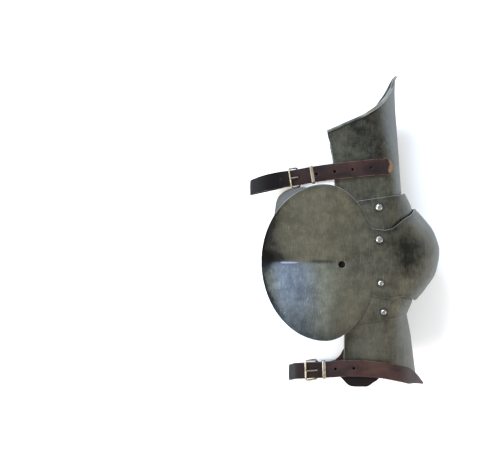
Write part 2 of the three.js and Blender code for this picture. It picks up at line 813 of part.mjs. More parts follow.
// A strap with holes, its buckle strap, buckle, prong and keeper, fastened round the back of the leg.
function fasten(spec) {
  const { name, path, tipShare, buckleShare, keeperShare, chapeShare } = spec;
  const length = path.getLength();
  const taper = spec.tipLength / length;
  const bandWidth = (share) => {
    const left = Math.max(tipShare - share, 0) / taper;
    return STRAP_WIDTH * Math.min(1, spec.tipWidth + (1 - spec.tipWidth) * left);
  };
  const buckle = strapFrame(path, buckleShare);
  const span = spec.buckleLength - BUCKLE_BAR;
  const half = span / 2 / length;
  const prongFrame = strapFrame(path, buckleShare + half);
  let strap = solid(bandGeometry(path, 0, tipShare - taper, spec.steps, bandWidth));
  strap = strap.add(
    solid(bandGeometry(path, tipShare - taper, tipShare, spec.tipSteps, bandWidth)),
  );
  strap = strap.subtract(strapPin(prongFrame, STRAP_HOLE_RADIUS + 0.3, LEATHER));
  for (const count of spec.holes) {
    const share = buckleShare + half + (count * STRAP_HOLE_PITCH) / length;
    strap = strap.subtract(strapPin(strapFrame(path, share), STRAP_HOLE_RADIUS, LEATHER));
  }
  // The buckle strap's plate end: clipped corners, and a spread below the strap where it has one.
  const fromEnd = (share) => (chapeShare - share) * length;
  const spread = (share) => (spec.spread ? smooth(spec.spread, fromEnd(share)) : 0);
  const chapeWidth = (share) => {
    return CHAPE_WIDTH * Math.min(1, 0.55 + (0.45 * fromEnd(share)) / 6) + spread(share);
  };
  const foldShare = buckleShare + half + FOLD_BORE / length;
  let chape = solid(
    bandGeometry(path, foldShare, chapeShare, spec.chapeSteps, chapeWidth, CHAPE_SHIFT, (share) => {
      return -spread(share) / 2;
    }),
  );
  const [roll, hollow, slot] = foldSolids(buckle, span);
  chape = chape.add(roll).subtract(hollow).subtract(slot);
  addMesh(`${name}_buckle`, buckleFrame(buckle, span), NICKEL);
  addMesh(`${name}_prong`, prongGeometry(buckle, span), NICKEL);
  addMesh(`${name}_keeper`, keeperGeometry(strapFrame(path, keeperShare)), NICKEL);
  return { strap, chape };
}

function rail(rows) {
  return new THREE.CatmullRomCurve3(rows.map((row) => new THREE.Vector3(...row)));
}

// Thigh strap: riveted to the inner side, round the back, buckled on the outer side.
const thighRear = HINGE_X - THIGH_STRAP.reach;
const thighPath = rail([
  [HINGE_X - THIGH_STRAP.anchor + 12, THIGH_STRAP.y + 14, -INNER_RUN],
  [HINGE_X - THIGH_STRAP.anchor - 14, THIGH_STRAP.y + 12, -INNER_RUN],
  [thighRear + 74, THIGH_STRAP.y + 6, -INNER_RUN + 1],
  [thighRear + 38, THIGH_STRAP.y - 4, -INNER_RUN * 0.88],
  [thighRear + 9, THIGH_STRAP.y - 12, -INNER_RUN * 0.52],
  [thighRear, THIGH_STRAP.y - 16, 0],
  [thighRear + 7, THIGH_STRAP.y - 15.5, OUTER_RUN * 0.55],
  [thighRear + 21, THIGH_STRAP.y - 13, OUTER_RUN * 0.92],
  [thighRear + 36, THIGH_STRAP.y - 10.5, OUTER_RUN],
  [HINGE_X - THIGH_STRAP.buckle, THIGH_STRAP.y - 8, OUTER_RUN],
  [HINGE_X - THIGH_STRAP.keeper, THIGH_STRAP.y - 4, OUTER_RUN],
  [HINGE_X - 55, THIGH_STRAP.y, OUTER_RUN],
  [HINGE_X - 28, THIGH_STRAP.y + 3, OUTER_RUN],
  [HINGE_X - 8, THIGH_STRAP.y + 5, OUTER_RUN - 0.6],
  [HINGE_X + THIGH_STRAP.tip, THIGH_STRAP.y + 6.5, OUTER_RUN - 2.6],
]);
// Greave strap: the same way round, its free end hanging over the front of the plate.
const shinRear = HINGE_X - SHIN_STRAP.reach;
const shinPath = rail([
  [HINGE_X - SHIN_STRAP.anchor, SHIN_STRAP.y + 23, -INNER_RUN],
  [HINGE_X - SHIN_STRAP.anchor - 11, SHIN_STRAP.y + 5, -INNER_RUN],
  [HINGE_X - SHIN_STRAP.anchor - 17, SHIN_STRAP.y - 5.5, -INNER_RUN],
  [HINGE_X - SHIN_STRAP.anchor - 23, SHIN_STRAP.y - 15.5, -INNER_RUN],
  [HINGE_X - SHIN_STRAP.anchor - 32.5, SHIN_STRAP.y - 23.5, -INNER_RUN],
  [shinRear + 57, SHIN_STRAP.y - 28, -INNER_RUN * 0.99],
  [shinRear + 18, SHIN_STRAP.y - 29, -INNER_RUN * 0.8],
  [shinRear + 4, SHIN_STRAP.y - 26, -INNER_RUN * 0.45],
  [shinRear, SHIN_STRAP.y - 19, 0],
  [shinRear + 2, SHIN_STRAP.y - 10, OUTER_RUN * 0.55],
  [shinRear + 5.5, SHIN_STRAP.y - 4, OUTER_RUN * 0.9],
  [shinRear + 10, SHIN_STRAP.y - 2.6, OUTER_RUN * 0.985],
  [shinRear + 14, SHIN_STRAP.y - 2.2, OUTER_RUN],
  [HINGE_X - SHIN_STRAP.buckle + 4, SHIN_STRAP.y - 1.6, OUTER_RUN],
  [HINGE_X - SHIN_STRAP.keeper, SHIN_STRAP.y - 1.2, OUTER_RUN],
  [HINGE_X - 38, SHIN_STRAP.y + 0.5, OUTER_RUN],
  [HINGE_X - 17, SHIN_STRAP.y, OUTER_RUN],
  [HINGE_X + 4, SHIN_STRAP.y - 2, OUTER_RUN - 0.3],
  [HINGE_X + 27, SHIN_STRAP.y - 7, OUTER_RUN * 0.94],
  [HINGE_X + 51, SHIN_STRAP.y - 18, OUTER_RUN * 0.55],
  [HINGE_X + SHIN_STRAP.tip, SHIN_STRAP.y - 31, OUTER_RUN * 0.16],
]);
// Knee strap: inside the cop's sides, narrower behind so that the other straps swing outside it.
const kneeRear = HINGE_X - KNEE_STRAP.reach;
const kneeOut = KNEE_RUN - CHAPE_SHIFT;
const kneePath = rail([
  [HINGE_X - KNEE_STRAP.anchor + 11, KNEE_STRAP.y, -KNEE_RUN],
  [HINGE_X - KNEE_STRAP.anchor, KNEE_STRAP.y, -KNEE_RUN],
  [HINGE_X - KNEE_STRAP.anchor - 10, KNEE_STRAP.y, -KNEE_RUN],
  [HINGE_X - KNEE_STRAP.anchor - 20, KNEE_STRAP.y, -KNEE_RUN * 0.98],
  [HINGE_X - KNEE_STRAP.anchor - 34, KNEE_STRAP.y, -KNEE_RUN * 0.91],
  [kneeRear + 22, KNEE_STRAP.y, -KNEE_RUN * 0.66],
  [kneeRear + 4, KNEE_STRAP.y, -KNEE_RUN * 0.4],
  [kneeRear, KNEE_STRAP.y, -KNEE_RUN * 0.15],
  [kneeRear, KNEE_STRAP.y, KNEE_RUN * 0.15],
  [kneeRear + 4, KNEE_STRAP.y, KNEE_RUN * 0.44],
  [kneeRear + 22, KNEE_STRAP.y, KNEE_RUN * 0.72],
  [HINGE_X - KNEE_STRAP.anchor - 34, KNEE_STRAP.y, KNEE_RUN * 0.96],
  [HINGE_X - KNEE_STRAP.anchor - 20, KNEE_STRAP.y, kneeOut - KNEE_RUN * 0.02],
  [HINGE_X - KNEE_STRAP.anchor - 10, KNEE_STRAP.y, kneeOut],
  [HINGE_X - KNEE_STRAP.anchor, KNEE_STRAP.y, kneeOut],
  [HINGE_X - KNEE_STRAP.anchor + 11, KNEE_STRAP.y, kneeOut],
]);

const fastenings = [
  {
    name: "thigh_strap",
    path: thighPath,
    plate: "thigh_plate",
    half: LEG_HALF_WIDTH,
    tipShare: 1,
    tipLength: 6,
    tipWidth: 0.5,
    tipSteps: 1,
    buckleLength: SHORT_BUCKLE_LENGTH,
    buckleShare: shareAtX(thighPath, HINGE_X - THIGH_STRAP.buckle),
    keeperShare: shareAtX(thighPath, HINGE_X - THIGH_STRAP.keeper),
    chapeShare: shareAtX(thighPath, HINGE_X - THIGH_STRAP.rivet + 8),
    rivetX: HINGE_X - THIGH_STRAP.rivet,
    steps: 44,
    chapeSteps: 8,
    holes: [-1, 1, 2, 3, 4],
  },
  {
    name: "greave_strap",
    path: shinPath,
    plate: "greave_plate",
    half: LEG_HALF_WIDTH,
    tipShare: 1,
    tipLength: 58,
    tipWidth: 0.12,
    tipSteps: 8,
    buckleLength: BUCKLE_LENGTH,
    buckleShare: shareAtX(shinPath, HINGE_X - SHIN_STRAP.buckle + 6),
    keeperShare: shareAtX(shinPath, HINGE_X - SHIN_STRAP.keeper),
    chapeShare: shareAtX(shinPath, HINGE_X + 5),
    spread: SHIN_TAB,
    rivetX: HINGE_X - SHIN_STRAP.rivet,
    steps: 40,
    chapeSteps: 24,
    holes: [1, 2],
  },
  {
    name: "knee_strap",
    path: kneePath,
    plate: "knee_cop",
    half: COP_HALF_WIDTH,
    tipShare: 0.74,
    tipLength: 14,
    tipWidth: 0.2,
    tipSteps: 3,
    buckleLength: BUCKLE_LENGTH,
    buckleShare: 0.5,
    keeperShare: 0.57,
    chapeShare: 0.995,
    rivetX: HINGE_X - KNEE_STRAP.anchor,
    steps: 44,
    chapeSteps: 16,
    holes: [-1, 1],
  },
];

// The length share at which a path's inner or outer side reaches a place along X.
function sidePlace(path, x, inner) {
  const steps = 800;
  let best = 0;
  for (let i = 0; i <= steps; i++) {
    const point = path.getPointAt(i / steps);
    if (point.z < 0 !== inner) continue;
    if (inner ? point.x >= x : point.x <= x) best = i / steps;
  }
  return best;
}

// Each strap and buckle strap is riveted to its plate, the knee strap's under the cop.
for (const spec of fastenings) {
  let { strap, chape } = fasten(spec);
  const under = spec.name === "knee_strap";
  const size = under ? FLUSH_RIVET : STRAP_RIVET;
  const hole = size.shank + (under ? FLUSH_CLEARANCE : CLEARANCE);
  const low = under ? spec.half - WALL - CLEARANCE - LEATHER : spec.half - WALL;
  const high = under ? spec.half : spec.half + CLEARANCE + LEATHER;
  const anchorX = spec.path.points[0].x - STRAP_END;
  const rivets = [
    { side: "inner", sign: -1, x: anchorX, share: sidePlace(spec.path, anchorX, true) },
    { side: "outer", sign: 1, x: spec.rivetX, share: sidePlace(spec.path, spec.rivetX, false) },
  ];
  for (const { side, sign, x, share } of rivets) {
    const y = spec.path.getPointAt(share).y;
    const rivet = rivetGeometry(size, low, under ? high - CLEARANCE * 1.5 : high);
    if (sign < 0) rivet.rotateX(Math.PI);
    addMesh(`${spec.name}_rivet_${side}`, rivet.translate(x, y, 0), RIVET_STEEL);
    const ends = [sign * (low - WALL), sign * (high + WALL)];
    const cutter = pin(x, y, hole, Math.min(...ends), Math.max(...ends));
    punch(spec.plate, cutter);
    if (sign < 0) strap = strap.subtract(solid(cutter));
    else chape = chape.subtract(solid(cutter));
  }
  addMesh(spec.name, geometryOf(strap), HIDE);
  addMesh(`${spec.name}_buckle_strap`, geometryOf(chape), HIDE);
}

for (const [name, body] of plates) addMesh(name, geometryOf(body), STEEL);

// The whole part stands on its lowest point, centred over the origin.
const box = new THREE.Box3().setFromObject(group);
const middle = box.getCenter(new THREE.Vector3());
group.position.set(-middle.x, -middle.y, -box.min.z);

export default group;
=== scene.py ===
"""A right leg poleyn on a pale floor, seen from straight above as it lies on its inner side."""

import math

import bmesh
import bpy
import numpy as np
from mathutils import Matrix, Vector


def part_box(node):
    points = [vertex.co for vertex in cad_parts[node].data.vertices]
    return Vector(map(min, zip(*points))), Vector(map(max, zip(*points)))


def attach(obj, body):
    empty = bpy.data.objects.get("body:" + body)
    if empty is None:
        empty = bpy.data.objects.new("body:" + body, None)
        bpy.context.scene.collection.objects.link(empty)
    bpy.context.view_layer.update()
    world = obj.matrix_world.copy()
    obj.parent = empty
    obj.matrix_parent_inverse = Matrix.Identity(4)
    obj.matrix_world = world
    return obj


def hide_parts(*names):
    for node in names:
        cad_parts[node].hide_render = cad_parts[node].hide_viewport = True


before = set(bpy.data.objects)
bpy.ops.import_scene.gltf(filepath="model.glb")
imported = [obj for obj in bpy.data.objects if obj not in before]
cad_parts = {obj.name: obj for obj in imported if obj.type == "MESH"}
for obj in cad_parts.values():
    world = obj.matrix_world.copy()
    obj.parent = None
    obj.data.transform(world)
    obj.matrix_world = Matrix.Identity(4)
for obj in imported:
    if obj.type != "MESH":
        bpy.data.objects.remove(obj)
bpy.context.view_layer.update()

MM = 0.001
# Beyond this height a plate's point lies on one of its flat sides
FLAT_SIDE = 60.0

# Steel plate and leather
WALL = 1.4
LAYER_GAP = 1.3
CLEARANCE = 0.3
LEG_HALF = 78.0
LAME_HALF = LEG_HALF + WALL + LAYER_GAP
COP_HALF = LAME_HALF + WALL + LAYER_GAP
LEATHER = 2.0
PLATE_BEVEL = 0.35
STRAP_BEVEL = 0.3
BEVEL_ANGLE = 50

# Hinge places in the side view
HINGE_X = 160.0
HINGE = {
    "thigh": (HINGE_X, 30.0),
    "upper": (HINGE_X, -10.0),
    "lower": (HINGE_X + 1.8, -64.0),
    "shin": (HINGE_X + 5.6, -100.0),
}
BEND_START = HINGE_X + 8


def frame_origin():
    """Where the drawing's zero lies in the frame: from the thigh hinge's two rivets."""
    outer = np.array(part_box("thigh_hinge_rivet_outer"))
    inner = np.array(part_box("thigh_hinge_rivet_inner"))
    middle = (outer.min(axis=0) + outer.max(axis=0)) / 2
    height = (outer.max(axis=0)[2] + inner.min(axis=0)[2]) / 2
    return np.array([middle[0] - HINGE["thigh"][0] * MM, middle[1] - HINGE["thigh"][1] * MM, height])


ORIGIN = frame_origin()


def smooth(rows, at, column=1):
    """A smooth curve through a table's rows: cubic Hermite pieces, slopes from the neighbouring rows."""
    rows = np.asarray(rows, dtype=float)
    x = rows[:, 0]
    y = rows[:, column]
    low = np.maximum(np.arange(len(x)) - 1, 0)
    high = np.minimum(np.arange(len(x)) + 1, len(x) - 1)
    slope = (y[high] - y[low]) / (x[high] - x[low])
    at = np.clip(np.asarray(at, dtype=float), x[0], x[-1])
    i = np.clip(np.searchsorted(x, at, side="right") - 1, 0, len(x) - 2)
    span = x[i + 1] - x[i]
    t = (at - x[i]) / span
    ease = t * t * (3 - 2 * t)
    bow = span * (slope[i] * t * (1 - t) ** 2 - slope[i + 1] * t * t * (1 - t))
    return y[i] * (1 - ease) + y[i + 1] * ease + bow


def smoothstep(low, high, x):
    """0 at low and 1 at high, and 3 t^2 - 2 t^3 between."""
    t = np.clip((x - low) / (high - low), 0, 1)
    return t * t * (3 - 2 * t)


# The leg plates. A station gives the height's share, the shares of half width and reach, the bend's shift
# and the keel. The top and bottom edges give shares of the height from the front round to the rear, and the
# rear edge gives shares of the rear's reach from low to high.
THIGH = {
    "low": HINGE["thigh"][1] - 14, "height": 193.0, "half": LEG_HALF, "front": 37.0, "rear": 64.0,
    "inner_rear": 0.7,
    "stations": [(0.0, 1.0, 1.0, 0.0, 0.14), (0.19, 1.0, 0.94, 0.0, 0.16), (0.41, 1.0, 0.87, -8, 0.2),
                 (0.59, 1.01, 0.8, -20, 0.22), (0.76, 1.035, 0.74, -32, 0.22),
                 (0.88, 1.065, 0.72, -40, 0.22), (1.0, 1.1, 0.74, -44, 0.22)],
    "top": [(0, 0.99), (0.025, 0.983), (0.06, 0.952), (0.09, 0.92), (0.13, 0.885), (0.22, 0.829),
            (0.32, 0.781), (0.43, 0.735), (0.65, 0.667), (0.83, 0.615), (1, 0.56)],
    "bottom": [(0, 0.05), (0.3, 0.04), (0.55, 0.01), (0.7, 0.0), (0.85, 0.01), (1, 0.06)],
    "rear_edge": [(0, 0.42), (0.08, 0.66), (0.2, 0.83), (0.36, 0.875), (0.46, 0.925), (0.56, 1.0),
                  (1, 1.0)],
}
UPPER = {
    "low": HINGE["upper"][1] - 14, "height": 74.6, "half": LAME_HALF, "front": 52.0, "rear": 38.0,
    "inner_rear": 1.0,
    "stations": [(0.0, 1.0, 1.04, 0, 0.12), (0.43, 1.0, 1.0, 0, 0.12), (0.74, 1.0, 0.935, 0, 0.12),
                 (1.0, 1.0, 0.755, 0, 0.14)],
    "top": [(0, 1.0), (0.2, 0.985), (0.4, 0.945), (0.65, 0.9), (1, 0.81)],
    "bottom": [(0, 0.43), (0.3, 0.38), (0.48, 0.2), (0.62, 0.03), (0.8, 0.0), (1, 0.1)],
    "rear_edge": [(0, 0.36), (0.12, 0.62), (0.3, 0.88), (0.55, 1.0), (1, 0.94)],
}
LOWER = {
    "low": -118.0, "height": 68.0, "half": LAME_HALF, "front": 50.0, "rear": 40.0,
    "inner_rear": 1.0,
    "stations": [(0.0, 1.0, 0.8, 0, 0.13), (0.19, 1.0, 0.875, 0, 0.13), (0.36, 1.0, 0.98, 0, 0.12),
                 (0.6, 1.0, 1.03, 0, 0.12), (1.0, 1.0, 1.05, 0, 0.12)],
    "top": [(0, 0.56), (0.3, 0.62), (0.48, 0.8), (0.62, 0.98), (0.8, 1.0), (1, 0.9)],
    "bottom": [(0, 0.17), (0.25, 0.16), (0.45, 0.14), (0.65, 0.115), (0.82, 0.07), (1, 0.0)],
    "rear_edge": [(0, 0.95), (0.4, 1.0), (0.7, 0.9), (0.88, 0.64), (1, 0.38)],
}
SHIN = {
    "low": -193.0, "height": 107.0, "half": LEG_HALF, "front": 38.0, "rear": 43.5,
    "inner_rear": 0.57,
    "stations": [(0.0, 1.0, 1.44, -16, 0.14), (0.21, 1.0, 1.362, -15, 0.14), (0.54, 1.0, 1.24, -8, 0.14),
                 (0.81, 1.0, 1.09, 0, 0.14), (1.0, 1.0, 1.0, 0, 0.14)],
    "top": [(0, 0.94), (0.3, 0.955), (0.55, 0.99), (0.75, 1.0), (1, 0.93)],
    "bottom": [(0, 0.0), (0.035, 0.0), (0.16, 0.045), (0.34, 0.11), (0.65, 0.165), (1, 0.17)],
    "rear_edge": [(0, 1.0), (0.35, 0.99), (0.6, 0.965), (0.78, 0.9), (0.9, 0.72), (1, 0.5)],
}
# How far round a plate its curved front reaches, where 1 is the rear edge
ARC_END = 0.65
LEG_COLUMNS = 241

# Knee cop
COP_LOW = -92.0
COP_HEIGHT = 122.5
COP_FRONT = 86.0
# Share of the height, then reach and keel
COP_STATIONS = [
    (0.0, 0.605, 0.1), (0.07, 0.712, 0.1), (0.145, 0.795, 0.09), (0.275, 0.925, 0.08), (0.42, 0.982, 0.07),
    (0.535, 1.0, 0.07), (0.605, 0.987, 0.07), (0.765, 0.903, 0.13), (0.885, 0.772, 0.22), (1.0, 0.622, 0.24),
]
# Degrees round the section from its front, then share of the height
COP_TOP = [(0, 1.0), (15, 0.985), (30, 0.955), (47, 0.915), (62, 0.88), (74, 0.83), (82, 0.787), (90, 0.766)]
COP_BOTTOM = [(0, 0.0), (15, 0.012), (30, 0.03), (50, 0.06), (70, 0.088), (80, 0.074), (90, 0.077)]
COP_NOTCH_X = HINGE_X - 10
COP_NOTCH_TOP = 4.0
COP_NOTCH_BOTTOM = -80.0

# Wing
WING_X = HINGE_X - 69
WING_Y = -37.5
WING_HALF = 95.0
WING_REAR = 77.0
WING_FRONT = 66.0
WING_FLARE_TOP = 17.0
WING_FLARE_BOTTOM = 22.0
WING_LEAN = 5.0
WING_END = 87.5
VALLEY_SOFTNESS = 0.0004
WING_CREASE_POWER = 1.1
WING_HOLE = (HINGE_X - 46.3, -40.9)
WING_HOLE_RADIUS = 4.2

# Lobe on the inner side. Its outline gives the reach's share, then the lower and upper edges' shares
LOBE_REACH = 115.0
LOBE_Y = -30.0
LOBE_HALF = 94.0
LOBE_OUTLINE = [
    (0.0, 0.36, -0.53), (0.04, 0.5, -0.6), (0.09, 0.66, -0.68), (0.2, 0.86, -0.76), (0.35, 0.97, -0.82),
    (0.52, 1.0, -0.85), (0.7, 0.995, -0.83), (0.82, 0.965, -0.76), (0.91, 0.9, -0.62),
    (0.97, 0.79, -0.42), (1.0, 0.58, -0.15),
]


def front_x(bend, reach, keel, angle):
    """Front of a section: bend + half an ellipse of the reach, with a keel of (1 - sine) squared."""
    rounded = np.cos(angle) * reach * (1 - keel)
    return bend + rounded + reach * keel * (1 - np.abs(np.sin(angle))) ** 2


def leg_surface(plate, up):
    """Points of a plate round the leg: place runs from -1 to 1 round it, rise from 0 to 1 up it.

    Height goes from the bottom edge to the top edge with rise. Round the front, x is front_x of the station's
    reach and z is half the width times the angle's sine. Behind it, x goes straight to the rear edge.
    """
    place = np.linspace(-1, 1, LEG_COLUMNS)[:, None]
    rise = np.linspace(0, 1, up)[None, :]
    around = np.abs(place)
    low = smooth(plate["bottom"], around)
    share = low + (smooth(plate["top"], around) - low) * rise
    half = plate["half"] * smooth(plate["stations"], share, 1)
    bend = BEND_START + smooth(plate["stations"], share, 3)
    reach = plate["front"] * smooth(plate["stations"], share, 2) - smooth(plate["stations"], share, 3)
    keel = smooth(plate["stations"], share, 4)
    angle = np.clip(place / ARC_END, -1, 1) * math.pi / 2 + 0 * rise
    reach_back = plate["rear"] * np.where(place < 0, plate["inner_rear"], 1.0)
    rear = HINGE_X - reach_back * smooth(plate["rear_edge"], share)
    back = np.clip((around - ARC_END) / (1 - ARC_END), 0, 1)
    front = front_x(bend, reach, keel, angle)
    x = np.where(around <= ARC_END, front, bend + (rear - bend) * back)
    return np.stack([x, plate["low"] + plate["height"] * share, half * np.sin(angle)], axis=-1)


def wing_flare(x, y):
    """How far the wing stands out: two halves that flare from a valley, less a lean of the middle.

    The ease runs from 0 at the notch to 1 at the wing's middle as t^3 (10 - 15 t + 6 t^2).
    The flare grows with the distance from the valley to the crease's power.
    """
    t = np.clip((COP_NOTCH_X - x) / (COP_NOTCH_X - WING_X), 0, 1)
    ease = t ** 3 * (10 - 15 * t + 6 * t * t)
    away = np.clip((y - WING_Y) / WING_HALF, -1, 1)
    flare = np.where(away > 0, WING_FLARE_TOP, WING_FLARE_BOTTOM)
    rear = np.clip((COP_NOTCH_X - x) / (COP_NOTCH_X - WING_X + WING_REAR), 0, 1)
    lean = WING_LEAN * rear ** 2 * (1 - np.abs(away))
    return flare * (away * away + VALLEY_SOFTNESS) ** (WING_CREASE_POWER / 2) * ease - lean


def cop_surface(lobe=80, side=8, arc=160, wing=110, up=122):
    """Points of the cop, column by column: lobe, inner side, dome, outer side and wing.

    The dome is front_x carried through half a turn. The wing is a half ellipse behind its middle and another
    before it, lifted by wing_flare. Each column runs straight from its lower edge to its upper edge.
    """
    rise = np.linspace(0, 1, up)[None, :]
    side_top = COP_LOW + COP_HEIGHT * smooth(COP_TOP, 90.0)
    side_bottom = COP_LOW + COP_HEIGHT * smooth(COP_BOTTOM, 90.0)

    reach = np.sin(np.linspace(math.pi / 2, 0, lobe))
    lobe_x = COP_NOTCH_X - LOBE_REACH * reach
    lobe_top = LOBE_Y + LOBE_HALF * smooth(LOBE_OUTLINE, reach, 1)
    lobe_bottom = LOBE_Y + LOBE_HALF * smooth(LOBE_OUTLINE, reach, 2)

    side_x = np.linspace(COP_NOTCH_X, BEND_START, side)[1:-1]
    toward = (side_x - COP_NOTCH_X) / (BEND_START - COP_NOTCH_X)
    side_low = COP_NOTCH_BOTTOM + (side_bottom - COP_NOTCH_BOTTOM) * toward
    side_high = COP_NOTCH_TOP + (side_top - COP_NOTCH_TOP) * toward

    degrees = np.linspace(-90, 90, arc)[:, None]
    share_low = smooth(COP_BOTTOM, np.abs(degrees))
    share = share_low + (smooth(COP_TOP, np.abs(degrees)) - share_low) * rise
    angle = np.radians(degrees) + 0 * rise
    dome_x = front_x(BEND_START, COP_FRONT * smooth(COP_STATIONS, share, 1),
                     smooth(COP_STATIONS, share, 2), angle)
    dome = np.stack([dome_x, COP_LOW + COP_HEIGHT * share, COP_HALF * np.sin(angle)], axis=-1)

    notch = math.asin((COP_NOTCH_X - WING_X) / WING_FRONT)
    turn = np.linspace(-notch, math.radians(WING_END), wing)
    wing_x = WING_X - np.where(turn < 0, WING_FRONT, WING_REAR) * np.sin(turn)
    wing_half = WING_HALF * np.cos(turn)

    def flat(x, bottom, top, height):
        y = bottom[:, None] + (top - bottom)[:, None] * rise
        return np.stack([x[:, None] + 0 * y, y, height + 0 * y], axis=-1)

    inner_lobe = flat(lobe_x, lobe_bottom, lobe_top, -COP_HALF)
    inner_side = flat(side_x, side_low, side_high, -COP_HALF)
    outer_side = flat(side_x[::-1], side_low[::-1], side_high[::-1], COP_HALF)
    fan = flat(wing_x, WING_Y - wing_half, WING_Y + wing_half, COP_HALF)
    fan[..., 2] += wing_flare(fan[..., 0], fan[..., 1])
    return np.concatenate([inner_lobe, inner_side, dome, outer_side, fan])


def rolled_rim(points, radius=0.6, steps=16, sweep=290):
    """Adds rows beyond the last one that curl outwards round a small circle."""
    edge = points[:, -1]
    along = np.gradient(edge, axis=0)
    up = edge - points[:, -2]
    along /= np.linalg.norm(along, axis=1, keepdims=True)
    up -= along * np.sum(up * along, axis=1, keepdims=True)
    up /= np.linalg.norm(up, axis=1, keepdims=True)
    out = np.cross(up, along)
    turn = np.radians(np.linspace(0, sweep, steps + 1)[1:])[None, :, None]
    centre = edge + out * radius
    curl = centre[:, None] + radius * (up[:, None] * np.sin(turn) - out[:, None] * np.cos(turn))
    return np.concatenate([points, curl], axis=1)


def quads(across, up):
    """Faces of a grid whose points run up each column: their order faces outwards."""
    a = (np.arange(across - 1)[:, None] * up + np.arange(up - 1)[None, :]).ravel()
    return np.stack([a, a + 1, a + up + 1, a + up], axis=1)


def block_hole(points, faces, centre, radius, cells, height):
    """Opens a round hole at a grid point: drops a block of cells and pulls its rim onto a circle."""
    across, up = points.shape[:2]
    reach = np.linalg.norm(points[..., :2] - np.array(centre), axis=-1)
    reach = np.where(points[..., 2] > 0, reach, 1e9)
    i0, j0 = np.unravel_index(np.argmin(reach), reach.shape)
    i, j = np.indices((across, up))
    ring = np.maximum(np.abs(i - i0), np.abs(j - j0))
    shift = np.array(centre) - points[i0, j0, :2]
    near = 1 - smoothstep(cells, cells * 4, ring)
    points[..., :2] += shift * near[..., None]
    rim = ring == cells
    away = points[rim][:, :2] - np.array(centre)
    away *= radius / np.linalg.norm(away, axis=1, keepdims=True)
    points[rim, :2] = np.array(centre) + away
    moved = near > 0
    points[moved, 2] = height(points[moved, 0], points[moved, 1])
    inside = (ring < cells).ravel()
    keep = ~inside[faces].any(axis=1)
    return points, faces[keep]


def edge_distance(points):
    """Distance in metres from each grid point to the nearest edge of the grid, along its rows."""
    step_up = np.linalg.norm(np.diff(points, axis=1), axis=2)
    step_across = np.linalg.norm(np.diff(points, axis=0), axis=2)
    from_low = np.concatenate([0 * step_up[:, :1], np.cumsum(step_up, axis=1)], axis=1)
    from_first = np.concatenate([0 * step_across[:1], np.cumsum(step_across, axis=0)], axis=0)
    up = np.minimum(from_low, from_low[:, -1:] - from_low)
    across = np.minimum(from_first, from_first[-1:] - from_first)
    return np.minimum(up, across) * MM


def from_top(points):
    """Distance in metres from each grid point to the upper end of its column."""
    steps = np.linalg.norm(np.diff(points, axis=1), axis=2)[:, ::-1]
    rise = np.concatenate([0 * steps[:, :1], np.cumsum(steps, axis=1)], axis=1)
    return rise[:, ::-1] * MM


def make_mesh(name, points, faces, fields):
    """A mesh at the drawing's place in the frame, with one number a point for each field."""
    used, back = np.unique(faces, return_inverse=True)
    places = points.reshape(-1, 3)[used] * MM + ORIGIN
    mesh = bpy.data.meshes.new(name)
    mesh.from_pydata(places.tolist(), [], back.reshape(faces.shape).tolist())
    for field, values in fields.items():
        layer = mesh.attributes.new(field, "FLOAT", "POINT")
        layer.data.foreach_set("value", np.asarray(values, dtype=np.float32).ravel()[used])
    mesh.polygons.foreach_set("use_smooth", np.ones(len(mesh.polygons), dtype=bool))
    mesh.update()
    piece = bpy.data.objects.new(name, mesh)
    bpy.context.scene.collection.objects.link(piece)
    return piece


def add_wall(piece, thickness, looks, bevel):
    """Gives a sheet its wall, inwards, with a back look and an edge look, and softens its edges."""
    for look in looks:
        piece.data.materials.append(look)
    wall = piece.modifiers.new("wall", "SOLIDIFY")
    wall.thickness = thickness * MM
    wall.offset = -1
    wall.use_even_offset = True
    wall.use_quality_normals = True
    wall.material_offset = 1
    wall.material_offset_rim = 2
    soft = piece.modifiers.new("soft", "BEVEL")
    soft.width = bevel * MM
    soft.segments = 2
    soft.limit_method = "ANGLE"
    soft.angle_limit = math.radians(BEVEL_ANGLE)
    soft.harden_normals = False


class Flow:
    """A socket of a node tree: arithmetic on it adds Math nodes."""

    def __init__(self, look, socket):
        self.look = look
        self.socket = socket

    def math(self, operation, *values):
        return self.look.node("ShaderNodeMath", {"operation": operation}, dict(enumerate(values)))

    def __add__(self, other):
        return self.math("ADD", self, other)

    def __radd__(self, other):
        return self.math("ADD", other, self)

    def __sub__(self, other):
        return self.math("SUBTRACT", self, other)

    def __rsub__(self, other):
        return self.math("SUBTRACT", other, self)

    def __mul__(self, other):
        return self.math("MULTIPLY", self, other)

    def __rmul__(self, other):
        return self.math("MULTIPLY", other, self)

    def clamp(self):
        return self.math("MINIMUM", self.math("MAXIMUM", self, 0.0), 1.0)


